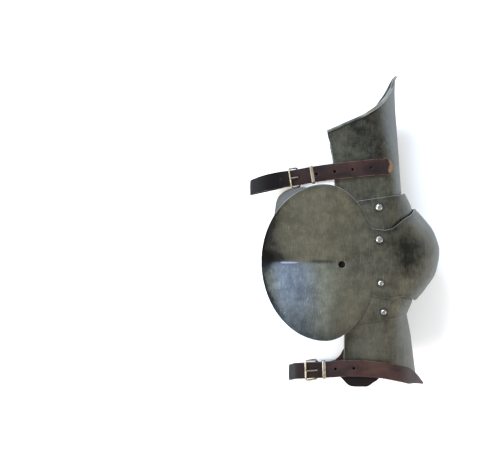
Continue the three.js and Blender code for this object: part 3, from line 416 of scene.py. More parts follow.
class Look:
    """A material under way: one method adds any node, others name the common ones."""

    def __init__(self, name):
        self.material = bpy.data.materials.new(name)
        self.material.use_nodes = True
        self.tree = self.material.node_tree
        self.tree.nodes.clear()
        self.coordinates = self.node("ShaderNodeTexCoord", {}, {}, "Object")

    def node(self, kind, settings, inputs, output=0):
        """Adds a node: its settings first, then a number or a link for each of its sockets."""
        made = self.tree.nodes.new(kind)
        for key, value in settings.items():
            setattr(made, key, value)
        for key, value in inputs.items():
            if isinstance(value, Flow):
                self.tree.links.new(value.socket, made.inputs[key])
            else:
                made.inputs[key].default_value = value
        return Flow(self, made.outputs[output]) if made.outputs else None

    def noise(self, scale, detail=4.0, rough=0.55, warp=0.0, where=None):
        values = {"Vector": where or self.coordinates, "Scale": scale, "Detail": detail, "Roughness": rough,
                  "Distortion": warp}
        return self.node("ShaderNodeTexNoise", {}, values)

    def field(self, name):
        return self.node("ShaderNodeAttribute", {"attribute_name": name}, {}, "Fac")

    def band(self, value, low, high):
        """0 below low and 1 above high, smooth between."""
        values = {"Value": value, "From Min": low, "From Max": high, "To Min": 0.0, "To Max": 1.0}
        return self.node("ShaderNodeMapRange", {"interpolation_type": "SMOOTHSTEP"}, values)

    def mix(self, factor, one, other):
        return self.node("ShaderNodeMix", {"data_type": "RGBA"}, {0: factor, 6: one, 7: other}, 2)

    def stretch(self, turn, scale):
        """Coordinates turned and scaled, which draws a noise out into streaks."""
        values = {"Vector": self.coordinates, "Rotation": turn, "Scale": scale}
        return self.node("ShaderNodeMapping", {}, values)

    def bump(self, height, strength, distance, under=None):
        values = {"Height": height, "Strength": strength, "Distance": distance}
        if under is not None:
            values["Normal"] = under
        return self.node("ShaderNodeBump", {}, values)

    def finish(self, **sockets):
        values = {key.replace("_", " "): value for key, value in sockets.items()}
        shader = self.node("ShaderNodeBsdfPrincipled", {}, values)
        self.node("ShaderNodeOutputMaterial", {}, {"Surface": shader})
        return self.material


def colour(red, green, blue):
    return (red, green, blue, 1.0)


def patina_look():
    """Blackened steel rubbed back by hand: cloudy patches, fine scratches, bright worn edges.

    It reads the plate's fields: tone (lighter or darker: patina and painted shade), worn (the wing's rubbed
    patch, where a blue reflection is painted), ridge, crest and edge (distances in metres from the keel or
    crease, the upper edge and the nearest edge). The crease's glint and the bright upper edges and edges are
    painted highlights on steel that is also worn bright there.
    """
    look = Look("steel_patina")
    cloud = look.noise(17.0, 5.0, 0.62, 0.4)
    grain = look.noise(95.0, 6.0, 0.65)
    speck = look.noise(700.0, 3.0, 0.6)
    brushed = look.noise(1.0, 4.0, 0.65, where=look.stretch((0.0, 0.0, 0.25), (520.0, 130.0, 300.0)))
    one = look.noise(1.0, 3.0, 0.6, where=look.stretch((0.0, 0.0, 0.7), (1500.0, 42.0, 300.0)))
    other = look.noise(1.0, 3.0, 0.6, where=look.stretch((0.3, 0.2, -0.9), (1300.0, 36.0, 420.0)))
    third = look.noise(1.0, 2.0, 0.5, where=look.stretch((0.1, 0.5, -0.45), (900.0, 30.0, 900.0)))
    scratch = look.band(one, 0.60, 0.74) + look.band(other, 0.61, 0.76) + look.band(third, 0.62, 0.78)
    scratch = scratch.clamp()
    edge = look.field("edge")
    tone = look.field("tone")
    worn = look.field("worn")
    rubbed = look.band(cloud * 0.5 + grain * 0.5, 0.34, 0.66)
    # Darker near every edge: patina, and painted shade where the plates overlap
    near_edge = 1 - look.band(edge, 0.001, 0.009)
    fine_marks = (speck - 0.5) * 0.34 + (brushed - 0.5) * 0.4
    light = (rubbed * 0.36 + 0.25 + fine_marks - near_edge * 0.12 + tone * 0.6).clamp()
    base = look.mix(light, colour(0.0080, 0.0080, 0.0064), colour(0.134, 0.125, 0.090))
    # Painted reflection: the window's blue reflection on the wing's rubbed patch below its crease, mixed in
    # by worn
    sheen = look.mix(rubbed, colour(0.064, 0.075, 0.100), colour(0.136, 0.154, 0.188))
    base = look.mix(worn * 0.7, base, sheen)
    base = look.mix(scratch * (0.06 + light * 0.34 + worn * 0.60), base, colour(0.250, 0.254, 0.250))
    tint = look.band(look.noise(9.0, 2.0), 0.42, 0.62)
    base = look.mix(tint * 0.22, base, colour(0.042, 0.043, 0.040))
    # Painted shade: near black where the tone is deepest, mostly on the wing's rear end and rear rim
    painted_dark = 1 - look.band(tone, -1.9, -0.8)
    base = look.mix(painted_dark * 0.9, base, colour(0.0030, 0.0030, 0.0026))
    # Painted highlights: a glint along the wing's crease, blue over the rubbed patch, and thin light lines
    # along each plate's upper edge and edges, which are also worn bright; the keels are polished brighter
    ridge = 1 - look.band(look.field("ridge"), 0.0003, 0.0016)
    lip = (1 - look.band(look.field("crest"), 0.0003, 0.0010)) * 0.42
    rim = (1 - look.band(edge, 0.0003, 0.0010)) * 0.16
    shine = (ridge * (0.55 + worn * 0.6) + lip + rim).clamp()
    base = look.mix(shine, base, look.mix(worn, colour(0.248, 0.252, 0.248), colour(0.336, 0.416, 0.640)))
    rough = 0.52 - light * 0.06 + (grain - 0.5) * 0.16 - scratch * 0.05 - shine * 0.08 - worn * 0.16
    swell = look.bump(look.noise(38.0, 2.0, 0.4), 0.30, 0.0016)
    fine = look.bump(grain * 0.5 + speck * 0.25 - scratch * 0.25, 0.16, 0.00035, swell)
    return look.finish(Base_Color=base, Metallic=0.92, Roughness=rough, Normal=fine)


def scale_look():
    """The plates' inner faces: black from the fire, rough."""
    look = Look("steel_inside")
    cloud = look.noise(60.0, 5.0, 0.6)
    base = look.mix(look.band(cloud, 0.35, 0.7), colour(0.0144, 0.0144, 0.0136), colour(0.052, 0.051, 0.046))
    # Painted reflection: the light above, reflected on the lobe's inner face where it shows past its rim,
    # lightens it
    base = look.mix(look.field("lobe_reflection") * 0.9, base, colour(0.140, 0.136, 0.128))
    rough = 0.62 - look.band(cloud, 0.4, 0.7) * 0.12
    return look.finish(Base_Color=base, Metallic=0.75, Roughness=rough, Normal=look.bump(cloud, 0.2, 0.0006))


def filed_look():
    """Filed and polished plate edges."""
    look = Look("steel_edge")
    grain = look.noise(400.0, 4.0, 0.6)
    bright = look.band(look.noise(45.0, 3.0), 0.35, 0.7)
    base = look.mix(bright, colour(0.112, 0.112, 0.104), colour(0.288, 0.288, 0.272))
    return look.finish(Base_Color=base, Metallic=0.95, Roughness=0.28 + grain * 0.16)


def rim_look():
    """The thigh plate's rolled rim: brighter than the plate, partly rubbed and partly a painted highlight
    along the roll.
    """
    look = Look("steel_rim")
    grain = look.noise(300.0, 4.0, 0.6)
    bright = look.band(look.noise(50.0, 3.0), 0.35, 0.65)
    # The lighter colour is partly a painted highlight along the roll
    base = look.mix(bright, colour(0.060, 0.058, 0.050), colour(0.192, 0.188, 0.160))
    return look.finish(Base_Color=base, Metallic=0.94, Roughness=0.34 + grain * 0.16)


def rivet_look():
    """Bright peened rivets with dark pits."""
    look = Look("rivet_steel")
    pit = look.band(look.noise(620.0, 4.0, 0.6), 0.42, 0.66)
    base = look.mix(pit, colour(0.288, 0.288, 0.276), colour(0.080, 0.078, 0.072))
    facet = look.noise(330.0, 1.0)
    return look.finish(Base_Color=base, Metallic=0.96, Roughness=0.24 + pit * 0.25,
                       Normal=look.bump(facet, 0.6, 0.0010))


def nickel_look():
    """Nickel on brass, warm where it is worn."""
    look = Look("buckle_nickel")
    worn = look.band(look.noise(180.0, 4.0, 0.6), 0.40, 0.62)
    base = look.mix(worn, colour(0.352, 0.336, 0.284), colour(0.232, 0.188, 0.112))
    return look.finish(Base_Color=base, Metallic=0.97, Roughness=0.24 + worn * 0.14,
                       Normal=look.bump(look.noise(900.0, 3.0), 0.12, 0.0003))


def hair_side_look():
    """The strap's smooth side: dark waxed leather, fine grain, creases and a pale cut rim.

    It reads the strap's fields: tip (1 at a pale tip, below 0 where shade is painted dark), rubbed and edge.
    """
    look = Look("leather_hair_side")
    cells = {"Vector": look.coordinates, "Scale": 1500.0}
    grain = look.node("ShaderNodeTexVoronoi", {"feature": "DISTANCE_TO_EDGE"}, cells)
    cloud = look.noise(42.0, 4.0, 0.6, 0.5)
    lengthways = look.stretch((0.0, 0.0, 0.1), (0.5, 1.6, 1.0))
    red = look.band(look.noise(30.0, 4.0, 0.6, where=lengthways), 0.40, 0.66)
    dark = look.band(cloud, 0.34, 0.68)
    base = look.mix(dark, colour(0.0048, 0.0026, 0.0029), colour(0.0144, 0.0064, 0.0058))
    base = look.mix(red * 0.5, base, colour(0.024, 0.0090, 0.0066))
    streaks = look.stretch((0.0, 0.0, 0.1), (60.0, 900.0, 300.0))
    scuff = look.band(look.noise(1.0, 3.0, 0.6, where=streaks), 0.60, 0.76)
    base = look.mix(scuff * 0.25, base, colour(0.056, 0.030, 0.023))
    edge = look.field("edge")
    rim = (1 - look.band(edge, 0.0004, 0.0009)) * look.band(look.noise(90.0, 3.0), 0.30, 0.62)
    base = look.mix(rim * 0.6, base, colour(0.152, 0.092, 0.070))
    shade = look.field("tip")
    rubbed = look.field("rubbed") * (0.45 + look.band(cloud, 0.38, 0.62) * 0.55)
    base = look.mix(rubbed, base, look.mix(red, colour(0.029, 0.0140, 0.0132), colour(0.050, 0.022, 0.0144)))
    # Painted shade: near black on each strap's rear end, where it turns behind the leg, and on the buckle
    # straps beneath the straps
    painted_shade = (0.0 - shade).clamp()
    base = look.mix(painted_shade * 0.85, base, colour(0.0018, 0.0013, 0.0016))
    tip = look.band(shade + (look.noise(210.0, 3.0) - 0.5) * 0.9, 0.35, 0.60)
    base = look.mix(tip * 0.9, base, colour(0.132, 0.076, 0.036))
    rough = 0.44 + cloud * 0.22 + scuff * 0.1 + painted_shade * 0.4
    crease = look.bump(look.noise(120.0, 4.0, 0.6, 0.6), 0.22, 0.0007)
    skin = look.bump(grain, 0.25, 0.00025, crease)
    return look.finish(Base_Color=base, Roughness=rough, Specular_IOR_Level=0.13, Normal=skin)


def flesh_side_look():
    """The strap's rough side: paler, fibrous."""
    look = Look("leather_flesh_side")
    fibre = look.noise(260.0, 6.0, 0.7, 0.8)
    cloud = look.noise(38.0, 3.0, 0.5)
    light = look.band(cloud * 0.6 + fibre * 0.4, 0.34, 0.66)
    base = look.mix(light, colour(0.0144, 0.0080, 0.0060), colour(0.042, 0.022, 0.0160))
    return look.finish(Base_Color=base, Roughness=0.86, Specular_IOR_Level=0.13,
                       Normal=look.bump(fibre, 0.35, 0.0006))


def cut_edge_look():
    """Cut leather edges: tan, darker in patches."""
    look = Look("leather_edge")
    fibre = look.noise(220.0, 5.0, 0.65, 0.5)
    base = look.mix(look.band(fibre, 0.36, 0.64), colour(0.044, 0.024, 0.0160), colour(0.160, 0.100, 0.072))
    return look.finish(Base_Color=base, Roughness=0.8, Specular_IOR_Level=0.13,
                       Normal=look.bump(fibre, 0.4, 0.0005))


INSIDE_LOOK = scale_look()
EDGE_LOOK = filed_look()
PLATE_LOOKS = [patina_look(), INSIDE_LOOK, EDGE_LOOK, rim_look()]
STRAP_LOOKS = [hair_side_look(), flesh_side_look(), cut_edge_look()]
RIVET_LOOK = rivet_look()
NICKEL_LOOK = nickel_look()


def settle(piece, body, slot, *nodes):
    """Lets a piece ride on its body, in place of its CAD nodes. The slot is not used."""
    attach(piece, body)
    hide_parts(*nodes)


# Lighter and darker patches, partly the patina's cloudy tone and partly painted light and shade, such as the
# dark rear end of the wing and the dark line along its crease: X, Y, half sizes along X and Y, and how much
# lighter or darker
PATCHES = [
    (8, -18, 40, 52, -1.2), (26, -33, 34, 13, -0.9), (62, -132, 44, 14, -0.5), (30, 20, 22, 40, -0.1),
    (84, 10, 74, 84, 0.5), (108, -84, 60, 60, 0.62), (60, -112, 26, 22, -0.3), (88, -37.5, 26, 3.5, -0.8),
    (202, -28, 30, 36, -0.76), (180, -6, 36, 28, -0.38), (216, 2, 16, 22, 0.3), (180, -66, 40, 18, 0.05),
    (134, -12, 22, 30, 0.1), (150, 130, 100, 110, -0.32), (145, 112, 34, 60, -0.2), (168, 22, 26, 26, -0.2),
    (118, -140, 14, 40, -0.25), (152, -140, 24, 46, 0.42), (176, -140, 14, 50, -0.35),
    (172, -98, 30, 16, 0.12),
]
# Where a patch fades, in shares of its half sizes
PATCH_FADE = (0.1, 1.05)
# The grime round a hinge rivet: its strength, and the radii between which it fades
RING_SHADE = 0.3
RING_FADE = (4.5, 7.5)

# Where a mark comes or goes: two places along X, along Y or away from the edge
SHADE_FRONT = (14, 74)
SHADE_TOP = (-20, 50)
SHADE_WIDTH = (1, 22)
# The painted reflection on the lobe's inner face fades between these places along X
LOBE_REFLECTION = (70, 110)
# The wing's rubbed patch with its painted blue reflection, then the crease's painted glint
SHEEN_REAR = (20, 42)
SHEEN_FRONT = (54, 90)
SHEEN_TOP = (-36, -40)
SHEEN_FADE = (-58, -124)
SHEEN_LOST = 0.75
SHEEN_SLANT = 0.1
GLINT_REAR = (26, 42)
GLINT_FRONT = (54, 76)
# The crease's glint lies this far below the valley, and elsewhere along the crease its distance grows by this
GLINT_DROP = 1
GLINT_OFF = 4
# A distance in metres from a ridge that leaves no mark
FAR = 1.0


def tone_field(points):
    """The patches added up on the outer side, and a dark ring round each hinge rivet."""
    tone = np.zeros(points.shape[:2])
    for x, y, wide, high, amount in PATCHES:
        away = np.hypot((points[..., 0] - x) / wide, (points[..., 1] - y) / high)
        tone += amount * (1 - smoothstep(*PATCH_FADE, away)) * (points[..., 2] > 0)
    for x, y in HINGE.values():
        away = np.hypot(points[..., 0] - x, points[..., 1] - y)
        tone -= RING_SHADE * (1 - smoothstep(*RING_FADE, away)) * (np.abs(points[..., 2]) > FLAT_SIDE)
    return tone


def rim_shade(points):
    """The dark band along the wing's rear rim: strongest where the rim is rearmost, gone at the top."""
    from_edge = edge_distance(points) / MM
    rearward = 1 - smoothstep(*SHADE_FRONT, points[..., 0])
    low = 1 - smoothstep(*SHADE_TOP, points[..., 1])
    return rearward * low * (1 - smoothstep(*SHADE_WIDTH, from_edge)) * (points[..., 2] > FLAT_SIDE)


def wing_marks(points):
    """The wing's blue sheen below its crease, and each point's distance in metres from the crease's glint."""
    x, y, z = np.moveaxis(points, -1, 0)
    on_wing = (z > FLAT_SIDE) & (x < COP_NOTCH_X)
    slant = x + SHEEN_SLANT * (y - WING_Y)
    across = smoothstep(*SHEEN_REAR, slant) * (1 - smoothstep(*SHEEN_FRONT, slant))
    # Where the wing's blue reflection is painted over its rubbed patch
    sheen = smoothstep(*SHEEN_TOP, y) * across * (1 - SHEEN_LOST * smoothstep(*SHEEN_FADE, y))
    lit = smoothstep(*GLINT_REAR, x) * (1 - smoothstep(*GLINT_FRONT, x))
    away = np.abs(y - WING_Y + GLINT_DROP) + GLINT_OFF * (1 - lit)
    return np.where(on_wing, sheen, 0.0), np.where(on_wing, away * MM, FAR)


def plate_piece(name, body, points, faces, worn=None, crease=None):
    """A steel plate from its outer grid: wall, soft edges, and the fields that its finish reads."""
    from_keel = np.where(points[..., 0] > BEND_START + 4, np.abs(points[..., 2]) * MM, FAR)
    fields = {
        "edge": edge_distance(points),
        "ridge": from_keel if crease is None else np.minimum(from_keel, crease),
        "tone": tone_field(points) if worn is None else tone_field(points) - rim_shade(points),
        # The wing's rubbed patch, where a blue reflection is painted
        "worn": np.zeros(points.shape[:2]) if worn is None else worn,
        "crest": from_top(points),
        # A painted reflection of the light above on the lobe's inner face
        "lobe_reflection": (1 - smoothstep(*LOBE_REFLECTION, points[..., 0])) * (points[..., 2] < -FLAT_SIDE),
    }
    piece = make_mesh(name, points, faces, fields)
    add_wall(piece, WALL, PLATE_LOOKS, PLATE_BEVEL)
    settle(piece, body, "plate_steel", name)
    return piece


def make_plates():
    for name, body, plate, rows in (
        ("upper_lame", "upper_lame", UPPER, 52),
        ("lower_lame", "lower_lame", LOWER, 48),
        ("greave_plate", "greave", SHIN, 72),
    ):
        points = leg_surface(plate, rows)
        plate_piece(name, body, points, quads(*points.shape[:2]))
    make_thigh_plate()
    make_knee_cop()


def make_thigh_plate():
    flat = leg_surface(THIGH, 110)
    points = rolled_rim(flat)
    thigh = plate_piece("thigh_plate", "thigh", points, quads(*points.shape[:2]))
    # The roll's faces take the edge look inside its curl and, one slot on, the rim look outside it
    slots = np.zeros((points.shape[0] - 1, points.shape[1] - 1), dtype=np.int32)
    slots[:, flat.shape[1] - 1:] = PLATE_LOOKS.index(EDGE_LOOK)
    thigh.data.polygons.foreach_set("material_index", slots.ravel())


def make_knee_cop():
    points = cop_surface()
    faces = quads(*points.shape[:2])
    points, faces = block_hole(points, faces, WING_HOLE, WING_HOLE_RADIUS, 3,
                               lambda x, y: COP_HALF + wing_flare(x, y))
    plate_piece("knee_cop", "cop", points, faces, *wing_marks(points))


def revolve(name, profile, centre, flip, segments):
    """A turned shape: the profile's radius and height carried round the Z axis, upside down with flip."""
    profile = np.array(profile)
    turn = np.linspace(0, 2 * math.pi, segments, endpoint=False)[:, None]
    radius = profile[None, :, 0]
    sign = -1.0 if flip else 1.0
    x = centre[0] + radius * np.cos(turn) * sign
    y = centre[1] + radius * np.sin(turn)
    z = sign * profile[None, :, 1] + 0 * turn
    points = np.stack([x, y, z], axis=-1)
    rows = len(profile)
    a = (np.arange(segments)[:, None] * rows + np.arange(rows - 1)[None, :]).ravel()
    b = (a + rows) % (segments * rows)
    faces = np.stack([a, b, b + 1, a + 1], axis=1)
    piece = make_mesh(name, points, faces, {})
    close_poles(piece)
    return piece


def close_poles(piece):
    """Merges the points that meet on the axis and turns the faces outwards."""
    work = bmesh.new()
    work.from_mesh(piece.data)
    bmesh.ops.remove_doubles(work, verts=work.verts, dist=1e-6)
    bmesh.ops.dissolve_degenerate(work, edges=work.edges, dist=1e-7)
    bmesh.ops.recalc_face_normals(work, faces=work.faces)
    work.to_mesh(piece.data)
    work.free()


# A rivet's head: the upright brim's height, then the dome's power and where its rise ends
BRIM = 0.35
DOME_POWER = 0.8
DOME_END = 84
DOME_STEPS = 9


def dome_profile(low, high, head, dome, shank, tail, tail_height):
    """Radius and height up a rivet: tail, shank, then a domed head with a small flat on top.

    Up the dome, an angle rises: the radius is the head's times the dome power of its cosine, and the height
    follows its sine.
    """
    rise = np.radians(np.linspace(0, DOME_END, DOME_STEPS))
    brim = min(BRIM, dome / 2)
    under = low - CLEARANCE
    over = high + CLEARANCE
    cap = [(head * math.cos(a) ** DOME_POWER, over + brim + (dome - brim) * math.sin(a)) for a in rise]
    foot = [(0.0, under - tail_height), (tail * 0.7, under - tail_height), (tail, under - tail_height * 0.5),
            (tail * 0.96, under - 0.05), (shank, under), (shank, over), (head * 0.97, over)]
    return foot + cap + [(0.0, over + dome)]


HINGE_RIVET_SIDES = 28
STRAP_RIVET_SIDES = 20
HINGE_RIVET = {"dome": 2.4, "shank": 2.2, "tail": 3.5, "tail_height": 1.2}
UPPER_HEAD = 4.6
LOWER_HEAD = 3.9
STRAP_RIVET = {"head": 3.6, "dome": 1.1, "shank": 1.6, "tail": 2.8, "tail_height": 0.9}
FLUSH_RIVET = {"head": 1.8, "dome": 0.15, "shank": 1.6, "tail": 2.8, "tail_height": 0.9}
# How far the top of a rivet's shank lies below the top of its head
STRAP_RIVET_DROP = 1.1
FLUSH_RIVET_DROP = 0.2


def make_hinge_rivets():
    for hinge, body, over, under, head in (
        ("thigh", "upper_lame", LAME_HALF, LEG_HALF, UPPER_HEAD),
        ("upper", "cop", COP_HALF, LAME_HALF, UPPER_HEAD),
        ("lower", "cop", COP_HALF, LAME_HALF, LOWER_HEAD),
        ("shin", "lower_lame", LAME_HALF, LEG_HALF, LOWER_HEAD),
    ):
        profile = dome_profile(under - WALL, over, head, **HINGE_RIVET)
        for side in ("outer", "inner"):
            name = f"{hinge}_hinge_rivet_{side}"
            piece = revolve(name, profile, HINGE[hinge], side == "inner", HINGE_RIVET_SIDES)
            piece.data.materials.append(RIVET_LOOK)
            settle(piece, body, "rivet_steel", name)


def make_strap_rivets(name, body):
    """The two rivets that hold a strap and its buckle strap, each at its own place in the frame."""
    flush = body == "cop"
    size = FLUSH_RIVET if flush else STRAP_RIVET
    drop = FLUSH_RIVET_DROP if flush else STRAP_RIVET_DROP
    for side in ("outer", "inner"):
        rivet = f"{name}_rivet_{side}"
        box = np.array(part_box(rivet)) / MM - ORIGIN / MM
        centre = (box[0] + box[1]) / 2
        height = np.abs(box[:, 2])
        tail = size["tail_height"] + CLEARANCE
        profile = dome_profile(height.min() + tail, height.max() - CLEARANCE - drop, **size)
        piece = revolve(rivet, profile, centre[:2], side == "inner", STRAP_RIVET_SIDES)
        piece.data.materials.append(INSIDE_LOOK if flush else RIVET_LOOK)
        settle(piece, body, "rivet_steel", rivet)


# Straps and their buckles
STRAP_WIDTH = 20.0
CHAPE_WIDTH = 19.0
STRAP_LIFT = 1.8
CROWN = 0.25
BAND_CELLS = 20
HOLE_RADIUS = 1.9
HOLE_PITCH = 22.6
HOLE_CELLS = 2
CELLS_A_HOLE = 24
BUCKLE_LENGTH = 17.0
SHORT_BUCKLE_LENGTH = 13.0
BUCKLE_BAR = 2.2
BAR_SIDES = 14
BAR_SWELL = 1.08
BUCKLE_SIDE = 0.9
BUCKLE_CORNER = 2.5
PRONG_RADIUS = 0.9
PRONG_TAPER = 0.35
PRONG_RINGS = 40
PRONG_SIDES = 12
KEEPER_WIDTH = 4.0
KEEPER_WALL = 1.1
KEEPER_CORNER = 1.5
KEEPER_SIDES = 16
# The powers that square the keeper's section, for its width and its thickness
KEEPER_SQUARE = (0.35, 0.7)
FOLD_RADIUS = 3.3
FOLD_START = 33.0
FOLD_END = 320.0
FOLD_ROWS = 30
FOLD_GAP = 0.6
# A buckle strap's end: its share of the width, the share that it gains, and the length over which it does
CHAPE_END_WIDTH = 0.55
CHAPE_END_RISE = 0.45
CHAPE_END_LENGTH = 6
# How much painted shade darkens the buckle straps, which lie beneath their straps, in the tip field, where 1
# is a pale tip and -1 the darkest painted shade
SHADED = -0.8
# Where along X the painted shade on each strap's rear end ends, the stretch where it turns lighter and
# redder, and by how much
STRAP_TONES = {
    "thigh": (66.0, 84.0, 130.0, 0.3),
    "greave": (78.0, 84.0, 112.0, 0.9),
    "cop": (0.0, 0.0, 1.0, 0.0),
}
DARK_END_FADE = 34.0
OUTER_RUN = LEG_HALF + CLEARANCE + LEATHER + STRAP_LIFT + LEATHER / 2
INNER_RUN = LEG_HALF + CLEARANCE + LEATHER / 2
KNEE_RUN = COP_HALF - WALL - CLEARANCE - LEATHER / 2
CHAPE_SHIFT = -(LEATHER + STRAP_LIFT)
BAR_CORNER = BUCKLE_BAR * 0.7
HIGH_BAR = LEATHER / 2 + CLEARANCE + BAR_CORNER
LOW_BAR = -(LEATHER / 2 + CLEARANCE + FOLD_RADIUS)

# How far each strap reaches behind the hinges, its height, and its parts' places: distances behind the
# hinges, or for the tip before them. The knee strap's tip, buckle, keeper and chape are shares of its loop.
THIGH_STRAP = {
    "reach": 159.0, "y": 74.4, "tip": 17.0, "buckle": 105.0, "keeper": 83.0, "chape": 32.0, "anchor": 26.0,
}
SHIN_STRAP = {
    "reach": 107.0, "y": -170.0, "tip": 69.0, "buckle": 84.0, "keeper": 68.5, "chape": -5.0, "anchor": 0.0,
}
KNEE_STRAP = {
    "reach": 122.0, "y": -37.0, "anchor": 24.0, "tip": 0.74, "buckle": 0.5, "keeper": 0.57, "chape": 0.995,
}
# How much wider the greave's buckle strap is at each distance from its end
SHIN_TAB = [(0, 2), (8, 6), (17, 12.5), (24, 13.5), (38, 13.5), (45, 10.5), (54, 1), (58, 0)]


# How far to either side of a place the path's direction is measured
AXES_STEP = 0.6


class Path:
    """A centripetal Catmull-Rom curve through points, read by its length."""

    def __init__(self, rows, fine=80):
        p = np.array(rows, dtype=float)
        p = np.concatenate([2 * p[:1] - p[1:2], p, 2 * p[-1:] - p[-2:-1]])
        gap = np.sqrt(np.linalg.norm(np.diff(p, axis=0), axis=1))[:, None]
        d0, d1, d2 = gap[:-2], gap[1:-1], gap[2:]
        a, b, c, d = p[:-3], p[1:-2], p[2:-1], p[3:]
        start = ((b - a) / d0 - (c - a) / (d0 + d1) + (c - b) / d1) * d1
        end = ((c - b) / d1 - (d - b) / (d1 + d2) + (d - c) / d2) * d1
        t = np.linspace(0, 1, fine, endpoint=False)[None, :, None]
        b, c, start, end = b[:, None], c[:, None], start[:, None], end[:, None]
        curve = (b + start * t + (3 * (c - b) - 2 * start - end) * t ** 2
                 + (2 * (b - c) + start + end) * t ** 3)
        self.points = np.concatenate([curve.reshape(-1, 3), p[-2:-1]])
        steps = np.linalg.norm(np.diff(self.points, axis=0), axis=1)
        self.along = np.concatenate([[0.0], np.cumsum(steps)])
        self.length = self.along[-1]

    def at(self, s):
        """Points at lengths s."""
        return np.stack([np.interp(s, self.along, self.points[:, k]) for k in range(3)], axis=-1)

    def axes(self, s):
        """Point, direction, width direction and outward direction at lengths s."""
        s = np.asarray(s, dtype=float)
        ahead = np.minimum(s + AXES_STEP, self.length)
        behind = np.maximum(s - AXES_STEP, 0)
        along = self.at(ahead) - self.at(behind)
        along /= np.linalg.norm(along, axis=-1, keepdims=True)
        across = np.array([0.0, 1.0, 0.0]) - along * along[..., 1:2]
        across /= np.linalg.norm(across, axis=-1, keepdims=True)
        return self.at(s), along, across, np.cross(along, across)

    def length_at_x(self, x):
        """The greatest length at which the path is still behind x."""
        inside = np.nonzero(self.points[:, 0] <= x)[0]
        return self.along[inside[-1]]


def strap_paths():
    """The middle line of each strap from its inner rivet, round behind the leg, to its outer end."""
    top, low, knee = THIGH_STRAP, SHIN_STRAP, KNEE_STRAP
    rear = HINGE_X - top["reach"]
    held = HINGE_X - top["anchor"]
    y = top["y"]
    thigh = Path([
        (held + 12, y + 14, -INNER_RUN), (held - 14, y + 12, -INNER_RUN),
        (rear + 74, y + 6, -INNER_RUN + 1), (rear + 38, y - 4, -INNER_RUN * 0.88),
        (rear + 9, y - 12, -INNER_RUN * 0.52), (rear, y - 16, 0), (rear + 7, y - 15.5, OUTER_RUN * 0.55),
        (rear + 21, y - 13, OUTER_RUN * 0.92), (rear + 36, y - 10.5, OUTER_RUN),
        (HINGE_X - top["buckle"], y - 8, OUTER_RUN), (HINGE_X - top["keeper"], y - 4, OUTER_RUN),
        (HINGE_X - 55, y, OUTER_RUN), (HINGE_X - 28, y + 3, OUTER_RUN), (HINGE_X - 8, y + 5, OUTER_RUN - 0.6),
        (HINGE_X + top["tip"], y + 6.5, OUTER_RUN - 2.6),
    ])
    rear = HINGE_X - low["reach"]
    held = HINGE_X - low["anchor"]
    y = low["y"]
    shin = Path([
        (held, y + 23, -INNER_RUN), (held - 11, y + 5, -INNER_RUN), (held - 17, y - 5.5, -INNER_RUN),
        (held - 23, y - 15.5, -INNER_RUN), (held - 32.5, y - 23.5, -INNER_RUN),
        (rear + 57, y - 28, -INNER_RUN * 0.99), (rear + 18, y - 29, -INNER_RUN * 0.8),
        (rear + 4, y - 26, -INNER_RUN * 0.45), (rear, y - 19, 0), (rear + 2, y - 10, OUTER_RUN * 0.55),
        (rear + 5.5, y - 4, OUTER_RUN * 0.9), (rear + 10, y - 2.6, OUTER_RUN * 0.985),
        (rear + 14, y - 2.2, OUTER_RUN), (HINGE_X - low["buckle"] - 2, y - 1.6, OUTER_RUN),
        (HINGE_X - low["keeper"], y - 1.2, OUTER_RUN), (HINGE_X - 38, y + 0.5, OUTER_RUN),
        (HINGE_X - 17, y, OUTER_RUN), (HINGE_X + 4, y - 2, OUTER_RUN - 0.3),
        (HINGE_X + 27, y - 7, OUTER_RUN * 0.94), (HINGE_X + 51, y - 18, OUTER_RUN * 0.55),
        (HINGE_X + low["tip"], y - 31, OUTER_RUN * 0.16),
    ])
    rear = HINGE_X - knee["reach"]
    y = knee["y"]
    held = HINGE_X - knee["anchor"]
    out = KNEE_RUN - CHAPE_SHIFT
    back = Path([
        (held + 11, y, -KNEE_RUN), (held, y, -KNEE_RUN), (held - 10, y, -KNEE_RUN),
        (held - 20, y, -KNEE_RUN * 0.98), (held - 34, y, -KNEE_RUN * 0.91), (rear + 22, y, -KNEE_RUN * 0.66),
        (rear + 4, y, -KNEE_RUN * 0.4), (rear, y, -KNEE_RUN * 0.15), (rear, y, KNEE_RUN * 0.15),
        (rear + 4, y, KNEE_RUN * 0.44), (rear + 22, y, KNEE_RUN * 0.72), (held - 34, y, KNEE_RUN * 0.96),
        (held - 20, y, out - KNEE_RUN * 0.02), (held - 10, y, out), (held, y, out), (held + 11, y, out),
    ])
    return thigh, shin, back


def band_surface(path, s, width, lift, slide=0.0):
    """A band: the path moved out by lift, with its width laid off across it by a share u from -1/2 to 1/2.

    Its middle stands out over its edges by a parabola, the crown times 1 - 4 u^2.
    """
    point, _, across, out = path.axes(s)
    u = np.linspace(-0.5, 0.5, BAND_CELLS + 1)[None, :, None]
    crown = CROWN * (1 - (2 * u) ** 2)
    middle = (point + across * np.reshape(slide, (-1, 1)))[:, None]
    reach = across[:, None] * np.reshape(width, (-1, 1, 1)) * u
    return middle + reach + out[:, None] * (lift + crown - CROWN)


